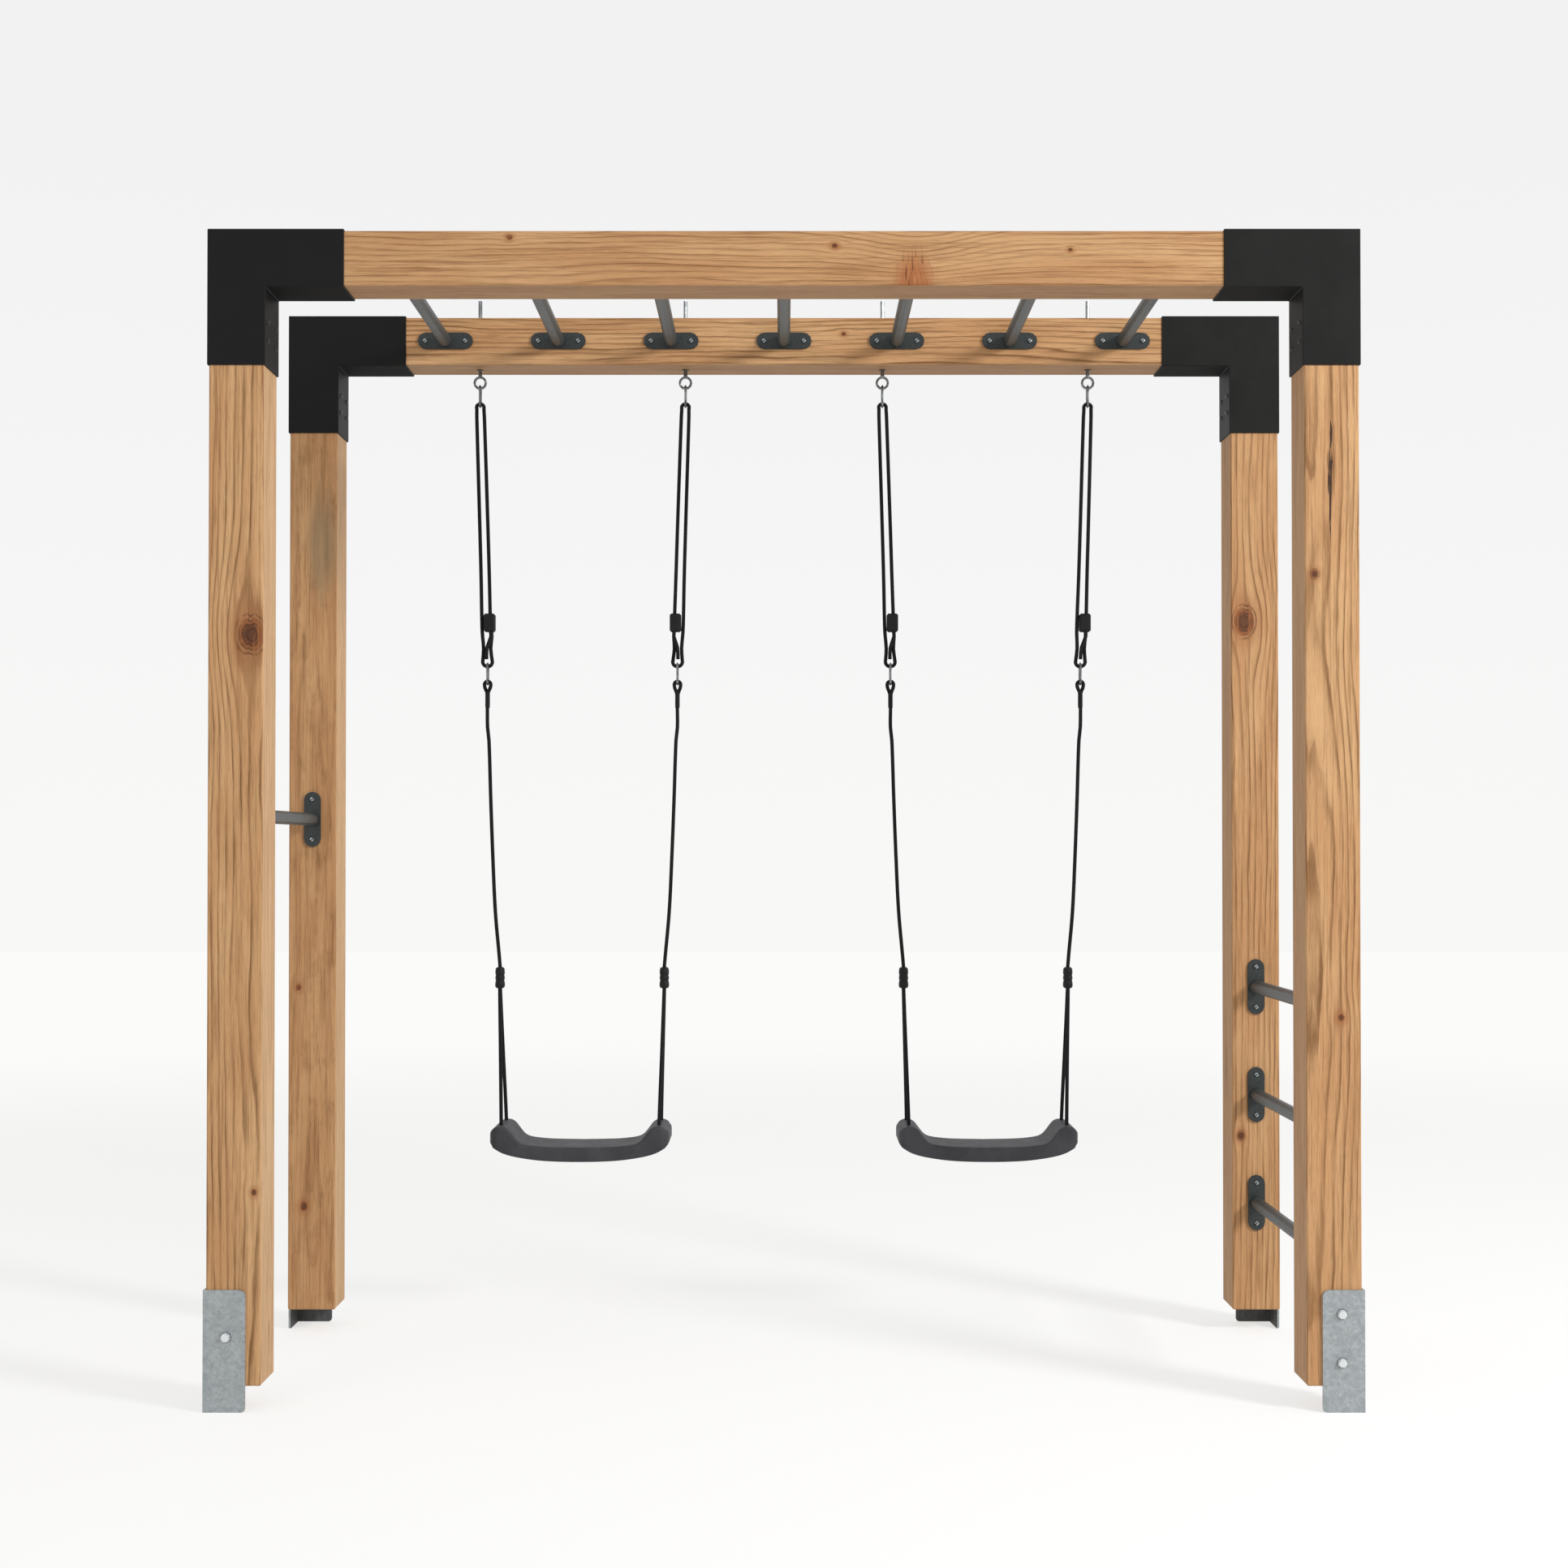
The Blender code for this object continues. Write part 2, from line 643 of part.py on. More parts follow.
def rung_mesh(screw):
    """A rung along Y, centred, with plates whose long side lies along X, and its screws."""
    half = RUNG_LENGTH / 2
    work = bmesh.new()
    cylinder_into(work, RUNG_RADIUS, -half + PLATE_THICK / 2, half - PLATE_THICK / 2, RUNG_SIDES)
    tube = finish_mesh("rung_tube", work)
    tube.transform(Matrix.Rotation(math.radians(90), 4, "X"))
    round_end = PLATE_WIDTH / 2
    reach = PLATE_LENGTH / 2 - round_end
    outline = arc((reach, 0), round_end, -90, 90, 6) + arc((-reach, 0), round_end, 90, 270, 6)
    plate = outline_mesh("plate", outline, PLATE_THICK)
    plate.transform(Matrix.Rotation(math.radians(90), 4, "X"))
    ends = []
    for side in (-1, 1):
        ends.append((plate, Matrix.Translation((0, side * (half - PLATE_THICK / 2), 0))))
    holder = add_object("rung_blank", tube, GREY_STEEL)
    combine(holder, gather("rung_plates", ends), "UNION", "rung_plates")
    bore = cylinder_mesh("rung_bore", RUNG_RADIUS - RUNG_WALL, -half - GAP, half + GAP, RUNG_BORE_SIDES)
    bore.transform(Matrix.Rotation(math.radians(90), 4, "X"))
    combine(holder, bore, "DIFFERENCE", "rung_bore")
    screws = []
    for side in (-1, 1):
        for shift in (-PLATE_HOLE_PITCH / 2, PLATE_HOLE_PITCH / 2):
            seat = (shift, side * (half - PLATE_THICK), 0)
            screws.append((screw, aim(seat, (0, side, 0))))
    combine(holder, gather("rung_screws", screws), "UNION", "rung_screws")
    return applied(holder)


def fused(name, solids, cuts=()):
    """One mesh from overlapping solids, less the cutters."""
    holder = add_object(name, solids[0])
    for k, mesh in enumerate(solids[1:]):
        combine(holder, mesh, "UNION", f"{name}_join_{k}", at=(0, 0, 0))
    for k, mesh in enumerate(cuts):
        combine(holder, mesh, "DIFFERENCE", f"{name}_cut_{k}", at=(0, 0, 0))
    return applied(holder)


def applied(holder):
    """The finished mesh of an object with its modifiers, after which the object is removed."""
    graph = bpy.context.evaluated_depsgraph_get()
    mesh = bpy.data.meshes.new_from_object(holder.evaluated_get(graph))
    mesh.name = holder.name
    tools = [m.object for m in holder.modifiers if m.type == "BOOLEAN"]
    for item in tools + [holder]:
        bpy.data.objects.remove(item)
    shade(mesh)
    return mesh


def build_rungs(screw):
    flat = rung_mesh(screw)
    upright = moved(flat, Matrix.Rotation(math.radians(90), 4, "Y"), "upright_rung")
    for k in range(MONKEY_BARS):
        place = (monkey_bar_x(k), 0, FRAME_TOP - MONKEY_BAR_DROP)
        add_object(f"monkey_bar_{k + 1}", flat, GREY_STEEL, at=place)
    for k in range(LADDER_RUNGS):
        place = (POST_X, 0, LADDER_FIRST + k * LADDER_PITCH)
        add_object(f"ladder_rung_{k + 1}", upright, GREY_STEEL, at=place)
    add_object("side_rung", upright, GREY_STEEL, at=(-POST_X, 0, SIDE_RUNG_HEIGHT))


def build_eye_bolts():
    """Eye bolts, each one piece with its shoulder under the beam and its nut and washer above."""
    circle = [(EYE_RING_RADIUS * math.cos(a), 0, EYE_RING_RADIUS * math.sin(a)) for a in turns(12)]
    curve = tube_curve("eye_ring", circle, EYE_WIRE, 1)
    curve.splines[0].use_cyclic_u = True
    ring = curve_to_mesh("eye_ring", curve)
    top = EYE_STUB_TOP - EYE_RING_HEIGHT
    solids = [ring, cylinder_mesh("eye_shank", EYE_SHANK, EYE_RING_RADIUS, top, EYE_SIDES)]
    above = FRAME_TOP + GAP - EYE_RING_HEIGHT
    below = BEAM_BOTTOM - GAP - EYE_RING_HEIGHT
    nut = EYE_NUT_HEX / math.sqrt(3)
    edge = above + EYE_WASHER_THICK
    solids.append(cylinder_mesh("eye_shoulder", EYE_SHOULDER_RADIUS, below - EYE_SHOULDER_THICK, below, EYE_SIDES))
    solids.append(cylinder_mesh("eye_washer", EYE_WASHER_RADIUS, above, edge, EYE_SIDES))
    solids.append(cylinder_mesh("eye_nut", nut, edge - TOUCH, edge + EYE_NUT_HEIGHT, 6))
    bolt = fused("eye_bolt", solids)
    places = eye_places()
    for k, (x, y) in enumerate(places):
        add_object(f"eye_bolt_{k + 1}", bolt, BRIGHT, at=(x, y, EYE_RING_HEIGHT))


def turns(count):
    return [2 * math.pi * k / count for k in range(count)]


# A snap hook's side view: U across towards the gate, W up, with the small bow's centre at the origin
HOOK_RISE = HOOK_LENGTH - 2 * HOOK_WIRE - HOOK_TOP_BOW - HOOK_LOW_BOW
HOOK_LEAN = math.asin((HOOK_TOP_BOW - HOOK_LOW_BOW) / HOOK_RISE)
HOOK_SIDE = Vector((math.cos(HOOK_LEAN), -math.sin(HOOK_LEAN)))
HOOK_ALONG = Vector((math.sin(HOOK_LEAN), math.cos(HOOK_LEAN)))
GATE_PIVOT = HOOK_SIDE * HOOK_LOW_BOW + HOOK_ALONG * GATE_PIVOT_RISE
HOOK_NOSE = Vector((0, HOOK_RISE)) + HOOK_SIDE * HOOK_TOP_BOW - HOOK_ALONG * HOOK_NOSE_BELOW
GATE_TIP = (HOOK_NOSE - GATE_PIVOT).length - GAP


def upright_point(spot):
    """A point of the hook's side view in the swing's YZ plane, with the gate towards the front."""
    return (0, -spot[0], spot[1])


def hook_mesh():
    """The bent wire of a snap hook, flattened to a tongue where the gate is riveted."""
    lean = math.degrees(HOOK_LEAN)
    path = [tuple(HOOK_NOSE)]
    path += arc((0, HOOK_RISE), HOOK_TOP_BOW, -lean, 180 + lean, 8)
    path += arc((0, 0), HOOK_LOW_BOW, 180 + lean, 360 - lean, 6)
    path.append(tuple(GATE_PIVOT - HOOK_ALONG * HOOK_END_BELOW))
    curve = tube_curve("hook_wire", [upright_point(p) for p in path], HOOK_WIRE, 1)
    wire = add_object("hook_blank", curve_to_mesh("hook_wire", curve), BRIGHT)
    drop = HOOK_END_BELOW + HOOK_TONGUE_ROOT
    outline = arc((0, 0), GATE_RADIUS, 0, 180, 4) + [(-GATE_RADIUS, -drop), (GATE_RADIUS, -drop)]
    tongue = outline_mesh("tongue", outline, HOOK_TONGUE)
    stand = Matrix(((0, 0, -1, 0), (-1, 0, 0, 0), (0, 1, 0, 0), (0, 0, 0, 1)))
    across = Matrix.Rotation(math.radians(90), 4, "Y")
    pivot = Vector(upright_point(GATE_PIVOT))
    tongue.transform(Matrix.Translation(pivot) @ Matrix.Rotation(HOOK_LEAN, 4, "X") @ stand)
    combine(wire, tongue, "UNION", "hook_tongue", at=(0, 0, 0))
    hole = cylinder_mesh("tongue_hole", GATE_PIN_RADIUS + TOUCH, -HOOK_WIRE, HOOK_WIRE, 6)
    hole.transform(Matrix.Translation(pivot) @ across)
    combine(wire, hole, "DIFFERENCE", "tongue_hole", at=(0, 0, 0))
    return applied(wire)


def gate_mesh():
    """The sprung gate about its rivet: a bar that straddles the hook's tongue, and the rivet through it."""
    work = bmesh.new()
    cylinder_into(work, GATE_RADIUS, -GATE_RADIUS, GATE_TIP, 8)
    bar = finish_mesh("gate_bar", work)
    lean = Matrix.Rotation(HOOK_LEAN, 4, "X")
    bar.transform(lean)
    gate = add_object("gate_blank", bar, BRIGHT)
    room = HOOK_TONGUE / 2 + GAP
    reach = GATE_SLOT_REACH
    slot = box_mesh("gate_slot", (-room, -reach, -reach), (room, reach, GATE_SLOT_TOP))
    slot.transform(lean)
    combine(gate, slot, "DIFFERENCE", "gate_slot", at=(0, 0, 0))
    pin = cylinder_mesh("gate_pin", GATE_PIN_RADIUS, -GATE_RADIUS, GATE_RADIUS, 6)
    pin.transform(Matrix.Rotation(math.radians(90), 4, "Y"))
    combine(gate, pin, "UNION", "gate_pin", at=(0, 0, 0))
    return applied(gate)


def line_x(side, swing_x, z):
    """Where a swing's rope line runs at a height: it draws in from the eye to the low hook."""
    share = (z - ADJUST_LOW) / (ADJUST_APEX - ADJUST_LOW)
    return swing_x + side * (LOW_HOOK_SPREAD + (EYE_SPREAD - LOW_HOOK_SPREAD) * share)


# Hand-chosen points of the doubled rope: across from its line, rise from a level, depth to the rear
TAIL_POINTS = [(0.0012, 0.0, -0.0095), (-0.0010, 0.030, -0.0080)]
RISING_POINTS = [
    (-0.0110, 0.020, -0.0046),
    (-0.0109, 0.100, -0.0008),
    (-0.0108, 0.224, 0.0),
]
FALLING_POINTS = [(0.0100, 0.224, 0.0), (0.0104, 0.090, 0.0)]
TOP_BEND = (200, 165, 127, 90, 53, 15, -20)
LOW_BEND = (18, -9, -36, -63, -90, -117, -144, -171, -198)
LOW_NECK = 0.0092
LOW_NECK_RISE = 0.046


def adjust_route(side, swing_x, out):
    """The doubled rope: bare tail, block, top hook, past the block, low hook, and back into the block."""

    def at(across, z, deep=0.0):
        return (line_x(side, swing_x, z) + out * across, PORTAL_Y + deep, z)

    def points(level, rows):
        return [at(across, level + rise, deep) for across, rise, deep in rows]

    def bend(angles, radius, middle):
        around = [math.radians(angle) for angle in angles]
        return [at(radius * math.cos(a), middle + radius * math.sin(a)) for a in around]

    top = BLOCK_MIDDLE + BLOCK_HEIGHT / 2
    low = BLOCK_MIDDLE - BLOCK_HEIGHT / 2
    past = -BLOCK_SHIFT + BLOCK_WIDTH / 2 + ROPE_RADIUS + BLOCK_STAND_OFF
    through, back, deep = BLOCK_BORE_SHIFT - BLOCK_SHIFT, -BLOCK_SHIFT - BLOCK_BACK_SHIFT, BLOCK_BORE_DEEP
    route = points(TAIL_END, TAIL_POINTS)
    route += [at(through, low - BLOCK_LEAD, -deep), at(through, low, -deep), at(through, top, -deep)]
    route += points(top, RISING_POINTS) + [at(-ROPE_TURN, ADJUST_APEX - ROPE_TURN_STRAIGHT)]
    route += bend(TOP_BEND, ROPE_TURN, ADJUST_APEX - ROPE_TURN)
    route += [at(ROPE_TURN, ADJUST_APEX - ROPE_TURN_STRAIGHT)] + points(top, FALLING_POINTS)
    route += [at(past, top), at(past, low), at(LOW_NECK, ADJUST_LOW + LOW_NECK_RISE)]
    route += bend(LOW_BEND, LOW_TURN, ADJUST_LOW + LOW_TURN)
    route += [at(-LOW_NECK, ADJUST_LOW + LOW_NECK_RISE), at(back, low - BLOCK_LEAD, deep)]
    route += [at(back, low, deep), at(back, low + BLOCK_END_HELD, deep)]
    return route


# Hand-chosen points of the hanging rope: out from the eye and rise, or out from a straight line and height
SPLICE_START = [
    (0.0002, -0.0480, 0.0050),
    (0.0004, -0.0320, 0.0050),
    (0.0024, -0.0200, 0.0047),
    (0.0070, -0.0085, 0.0022),
]
SPLICE_END = [
    (-0.0070, -0.0085, -0.0022),
    (-0.0024, -0.0200, -0.0047),
    (-0.0004, -0.0320, -0.0050),
    (-0.0002, -0.0480, -0.0050),
    (0.0, -0.0640, -0.0042),
    (0.0, -0.1100, 0.0),
]
OVAL_SIDES = 8
WHIPPING_TOP = 0.0225
WHIPPING_LOW = 0.0600
WHIPPING_HALF_WIDTH = 0.0058
WHIPPING_HALF_DEPTH = 0.0108
HANGING_POINTS = [(0.0030, 1.500), (0.0047, 1.350), (0.0056, 1.200), (0.0050, 1.060)]
SEAT_ENTRY_RISE = 0.0984


def hang_route(side, swing_x):
    """The hang rope: eye on the low hook, splitter, front hole, under the seat, rear hole, splitter."""

    def at(out, z, deep=0.0):
        return (swing_x + side * out, PORTAL_Y + deep, z)

    eye = LOW_HOOK_SPREAD
    ring = HANG_APEX - SPLICE_TURN
    route = [at(eye + across, ring + rise, deep) for across, rise, deep in SPLICE_START]
    for degrees in range(0, 181, 30):
        turn = math.radians(degrees)
        route.append(at(eye + SPLICE_TURN * math.cos(turn), ring + SPLICE_TURN * math.sin(turn)))
    route += [at(eye + across, ring + rise, deep) for across, rise, deep in SPLICE_END]
    for across, z in HANGING_POINTS:
        share = (z - SPLITTER_MIDDLE) / (HANG_APEX - SPLITTER_MIDDLE)
        route.append(at(SPLITTER_SPREAD + (eye - SPLITTER_SPREAD) * share + across, z))
    top = SPLITTER_MIDDLE + SPLITTER_HEIGHT / 2
    low = SPLITTER_MIDDLE - SPLITTER_HEIGHT / 2
    hole, rear = SEAT_HOLE_SPREAD, SEAT_HOLE_REAR
    entry = SEAT_BOTTOM + SEAT_ENTRY_RISE
    bend = SEAT_ROPE_BEND
    centre = SEAT_ROPE_LOW + bend
    route += [at(SPLITTER_SPREAD, top), at(SPLITTER_SPREAD, SPLITTER_MIDDLE, -STRAND_HALF_PITCH / 2)]

    def strand(way):
        """One strand from the splitter down to its hole: -1 in front, 1 behind."""
        return [
            at(SPLITTER_SPREAD, low, way * STRAND_HALF_PITCH),
            at((SPLITTER_SPREAD + hole) / 2, (low + entry) / 2, way * rear * STRAND_SPLAY),
            at(hole, entry, way * rear),
            at(hole, centre + bend, way * rear),
        ]

    route += strand(-1)
    for start, middle in ((180, bend - rear), (270, rear - bend)):
        for degrees in range(start, start + 91, 30):
            turn = math.radians(degrees)
            route.append(at(hole, centre + bend * math.sin(turn), middle + bend * math.cos(turn)))
    route += reversed(strand(1))
    route.append(at(SPLITTER_SPREAD, low + STRAND_END_HELD, STRAND_HALF_PITCH))
    return route


def longer(route, extra):
    """The route with both ends lengthened, for the bore of a blind hole."""
    first = Vector(route[0])
    last = Vector(route[-1])
    start = first + (first - Vector(route[1])).normalized() * extra
    end = last + (last - Vector(route[-2])).normalized() * extra
    return [start] + [Vector(p) for p in route] + [end]


def rope_bore(name, points, clear):
    curve = tube_curve(name, longer(points, clear), ROPE_RADIUS + clear, 2)
    return curve_to_mesh(name, curve)


def rope(name, points, pivot, parent):
    local = [p - Vector(pivot) for p in points]
    return add_object(name, tube_curve(name, local, ROPE_RADIUS, 2), ROPE, parent=parent, at=pivot)


def block_mesh(side, swing_x, out):
    middle = line_x(side, swing_x, BLOCK_MIDDLE) - out * BLOCK_SHIFT
    half = Vector((BLOCK_WIDTH / 2, BLOCK_DEPTH / 2, BLOCK_HEIGHT / 2))
    centre = Vector((middle, PORTAL_Y, BLOCK_MIDDLE))
    return box_mesh("block", centre - half, centre + half, BLOCK_EDGE)


# The splitter's profile from its top, as radius in metres and height as a share of half its length
SPLITTER_PROFILE = [
    (0.0078, 1.00),
    (0.0114, 0.84),
    (0.0121, 0.48),
    (0.0115, 0.18),
    (0.0121, -0.04),
    (0.0115, -0.50),
    (0.0126, -0.76),
    (0.0090, -1.00),
]


def oval_mesh(name, rows, middle):
    """A closed oval form about a point of the rope: rows of half width, half depth and height."""
    work = bmesh.new()
    loops = []
    for half_width, half_depth, height in rows:
        spots = [(half_width * math.cos(a), half_depth * math.sin(a), height) for a in turns(OVAL_SIDES)]
        loops.append([work.verts.new(spot) for spot in spots])
    for upper, lower in zip(loops, loops[1:]):
        for k in range(len(upper)):
            nxt = (k + 1) % len(upper)
            work.faces.new((upper[k], lower[k], lower[nxt], upper[nxt]))
    work.faces.new(loops[0])
    work.faces.new(list(reversed(loops[-1])))
    mesh = finish_mesh(name, work)
    mesh.transform(Matrix.Translation(middle))
    return mesh


def splitter_mesh(side, swing_x):
    """A ribbed clamp turned about the rope and drawn out front to back."""
    rows = [(r, r * SPLITTER_OVAL, share * SPLITTER_HEIGHT / 2) for r, share in SPLITTER_PROFILE]
    return oval_mesh("splitter", rows, (swing_x + side * SPLITTER_SPREAD, PORTAL_Y, SPLITTER_MIDDLE))


def whipping_mesh(side, swing_x):
    """The whipped sleeve that holds the rope's end behind the rope, under its eye."""
    ring = HANG_APEX - SPLICE_TURN
    ends = (-WHIPPING_TOP, -WHIPPING_LOW)
    rows = [(WHIPPING_HALF_WIDTH, WHIPPING_HALF_DEPTH, height) for height in ends]
    return oval_mesh("whipping", rows, (swing_x + side * LOW_HOOK_SPREAD, PORTAL_Y, ring))


# The seat's front view on its right half: across from the middle, and height above its lowest point
SEAT_TOP_SIDE = [
    (0.0, 0.0370),
    (0.080, 0.0386),
    (0.115, 0.0412),
    (0.140, 0.0452),
    (0.153, 0.0515),
    (0.162, 0.0610),
    (0.170, 0.0715),
    (0.1775, 0.0810),
    (0.186, 0.0875),
    (0.196, 0.0900),
    (0.206, 0.0895),
    (0.216, 0.0850),
    (0.2235, 0.0775),
]
SEAT_UNDER_SIDE = [
    (0.2245, 0.0440),
    (0.2190, 0.0370),
    (0.2090, 0.0300),
    (0.1930, 0.0215),
    (0.1720, 0.0150),
    (0.1450, 0.0095),
    (0.1000, 0.0036),
    (0.0500, 0.0007),
    (0.0, 0.0),
]
SEAT_END = [(0.227, 0.0690), (0.227, 0.0510)]


def seat_outline():
    right = SEAT_TOP_SIDE + SEAT_END + SEAT_UNDER_SIDE
    left = [(-x, z) for x, z in reversed(right[1:-1])]
    scale = SEAT_WIDTH / (2 * SEAT_END[0][0])
    return [(x * scale, z) for x, z in right + left]


def build_seat(name, swing_x, parent, bores):
    """The moulded seat: side view drawn front to back, plan corners rounded, rope holes and slots."""
    spot = (swing_x, PORTAL_Y, SEAT_BOTTOM)
    body = outline_mesh(name, seat_outline(), SEAT_DEPTH)
    body.transform(Matrix.Rotation(math.radians(90), 4, "X"))
    seat = add_object(name, body, SEAT, parent=parent, at=spot)
    ease = seat.modifiers.new("eased_edges", "BEVEL")
    ease.width = SEAT_EDGE
    ease.segments = 2
    ease.limit_method = "ANGLE"
    ease.angle_limit = math.radians(60)
    half_x, half_y, corner = SEAT_WIDTH / 2 + TOUCH, SEAT_DEPTH / 2 + TOUCH, SEAT_CORNER
    plan = []
    for cx, cy, start in (
        (half_x - corner, half_y - corner, 0),
        (-half_x + corner, half_y - corner, 90),
        (-half_x + corner, -half_y + corner, 180),
        (half_x - corner, -half_y + corner, 270),
    ):
        plan += arc((cx, cy), corner, start, start + 90, 4)
    mask = outline_mesh(name + "_plan", plan, SEAT_WIDTH)
    combine(seat, mask, "INTERSECT", name + "_plan")
    for k, (side, mesh) in enumerate(bores):
        combine(seat, mesh, "DIFFERENCE", f"{name}_bore_{k}", at=(0, 0, 0))
        x = side * SEAT_HOLE_SPREAD
        reach = SEAT_HOLE_REAR - SEAT_ROPE_BEND / 2
        low = (x - SEAT_SLOT_HALF, -reach, -SEAT_ROPE_RISE)
        slot = box_mesh("slot", low, (x + SEAT_SLOT_HALF, reach, SEAT_ROPE_RISE))
        combine(seat, slot, "DIFFERENCE", f"{name}_slot_{k}")
    return seat


def build_swing(name, swing_side, ropes, hook, gate):
    swing_x = swing_side * SWING_CENTRE
    pivot = (swing_x, PORTAL_Y, SWING_PIVOT)
    upper = add_empty(name + "_pivot", None, pivot)
    lower = add_empty(name + "_low_pivot", upper, (swing_x, PORTAL_Y, ADJUST_LOW))
    seat_bores = []
    for label, side, out in ropes:
        rope_x = swing_x + side * EYE_SPREAD
        low_x = swing_x + side * LOW_HOOK_SPREAD
        for level, x, top, parent in (
            ("top", rope_x, TOP_HOOK_TOP, upper),
            ("low", low_x, LOW_HOOK_TOP, lower),
        ):
            base = Vector((x, PORTAL_Y, top - HOOK_LENGTH + HOOK_WIRE + HOOK_LOW_BOW))
            add_object(f"{name}_{level}_hook_{label}", hook, BRIGHT, parent=parent, at=base)
            hinge = base + Vector(upright_point(GATE_PIVOT))
            add_object(f"{name}_{level}_gate_{label}", gate, BRIGHT, parent=parent, at=hinge)
        doubled = smooth_route(adjust_route(side, swing_x, out))
        rope(f"{name}_adjust_rope_{label}", doubled, (rope_x, PORTAL_Y, ADJUST_APEX), upper)
        block = add_object(
            f"{name}_adjuster_{label}", block_mesh(side, swing_x, out), PLASTIC, parent=upper, at=(0, 0, 0)
        )
        combine(block, rope_bore("block_bore", doubled, GAP), "DIFFERENCE", block.name + "_bore")
        hanging = smooth_route(hang_route(side, swing_x))
        tube = curve_to_mesh("hang_rope", tube_curve("hang_rope", hanging, ROPE_RADIUS, 2))
        rope_name = f"{name}_hang_rope_{label}"
        hang = add_object(rope_name, tube, ROPE, parent=lower, at=(0, 0, 0))
        combine(hang, whipping_mesh(side, swing_x), "UNION", rope_name + "_whipping")
        combine(hang, splitter_mesh(side, swing_x), "UNION", rope_name + "_splitter")
        seat_bores.append((side, rope_bore("seat_bore", hanging, BORE_CLEAR)))
    build_seat(name + "_seat", swing_x, lower, seat_bores)


def main():
    build_timber()
    screw = screw_mesh()
    build_brackets(screw)
    build_feet(bolt_mesh())
    build_rungs(screw)
    build_eye_bolts()
    hook, gate = hook_mesh(), gate_mesh()
    for name, swing_side, ropes in SWINGS:
        build_swing(name, swing_side, ropes, hook, gate)


main()
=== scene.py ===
"""Looks of the wooden swing set with monkey bars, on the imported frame: camera, ropes, materials, floor and light."""

import math

import bmesh
import bpy
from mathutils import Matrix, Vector


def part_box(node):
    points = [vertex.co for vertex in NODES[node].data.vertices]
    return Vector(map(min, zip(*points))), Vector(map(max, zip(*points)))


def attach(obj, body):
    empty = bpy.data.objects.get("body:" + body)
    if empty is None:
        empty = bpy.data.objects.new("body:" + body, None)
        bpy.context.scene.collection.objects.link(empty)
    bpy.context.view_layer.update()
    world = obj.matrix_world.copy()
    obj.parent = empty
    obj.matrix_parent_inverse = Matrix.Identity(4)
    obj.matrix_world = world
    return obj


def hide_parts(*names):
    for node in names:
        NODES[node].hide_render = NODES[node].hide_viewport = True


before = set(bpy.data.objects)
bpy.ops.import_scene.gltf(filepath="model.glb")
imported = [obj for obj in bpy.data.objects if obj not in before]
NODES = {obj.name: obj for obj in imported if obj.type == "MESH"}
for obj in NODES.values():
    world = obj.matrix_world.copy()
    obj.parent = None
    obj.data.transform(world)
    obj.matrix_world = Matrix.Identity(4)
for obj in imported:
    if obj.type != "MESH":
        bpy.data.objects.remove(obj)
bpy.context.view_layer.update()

# Sizes shared with the CAD model, in metres
TIMBER = 0.120
POST_X = 1.196
PORTAL_Y = 0.3835
FRAME_TOP = 2.574
PLATE_HOLE_PITCH = 0.102
SCREW_HEAD_RADIUS = 0.0065
HEAD_CLEAR = 0.0002
PLATE_THICK = 0.005
PLATE_START = PORTAL_Y - TIMBER / 2 - 0.0055
SLEEVE = TIMBER + 0.007
BRACKET_REACH = 0.298
BRACKET_TOP = FRAME_TOP + 0.0035
BRACKET_LOW = BRACKET_TOP - BRACKET_REACH
BRACKET_ROWS = (0.057, 0.099)
BRACKET_SCREW_SPREAD = 0.070
FOOT_OUT = TIMBER / 2 + 0.0053
FOOT_BOLT_INSET = 0.050
FOOT_BOLT_PAIR = (0.108, 0.213)
FOOT_BOLT_SINGLE = (0.163,)
WASHER_RADIUS = 0.012
EYE_SPREAD = 0.2640
LOW_HOOK_SPREAD = 0.2437
SPLITTER_SPREAD = 0.2105
SEAT_HOLE_SPREAD = 0.2005
SWING_CENTRE = 0.5171
ROPE_RADIUS = 0.0047
ROPE_TURN = 0.00975
ROPE_TURN_STRAIGHT = 0.036
LOW_TURN = 0.0125
SPLICE_TURN = 0.0081
ADJUST_APEX = 2.3663
ADJUST_LOW = 1.6902
HANG_APEX = 1.6522
BLOCK_MIDDLE = 1.8025
BLOCK_WIDTH = 0.029
BLOCK_HEIGHT = 0.047
BLOCK_SHIFT = 0.0085
BLOCK_BORE_DEEP = 0.0056
BLOCK_BORE_SHIFT = -0.0025
BLOCK_BACK_SHIFT = 0.0035
BLOCK_STAND_OFF = 0.0007
BLOCK_LEAD = 0.013
BLOCK_END_HELD = 0.030
TAIL_END = 1.7085
SPLITTER_MIDDLE = 0.8923
SPLITTER_HEIGHT = 0.054
STRAND_HALF_PITCH = 0.0054
STRAND_SPLAY = 0.53
STRAND_END_HELD = 0.020
SEAT_BOTTOM = 0.4316
SEAT_HOLE_REAR = 0.050
SEAT_ROPE_BEND = 0.012
SEAT_ROPE_LOW = SEAT_BOTTOM + 0.0305
SEAT_ENTRY_RISE = 0.0984

# How far a head may reach past its radius, and how upright a face has to be
HEAD_MARGIN = 1.06
UPRIGHT = 0.1

CORNERS = [("front_left", -1, -1), ("front_right", 1, -1), ("rear_left", -1, 1), ("rear_right", 1, 1)]
SWINGS = [
    ("left_swing", -1, [("a", -1, -1), ("b", 1, 1)]),
    ("right_swing", 1, [("a", -1, -1), ("b", 1, -1)]),
]

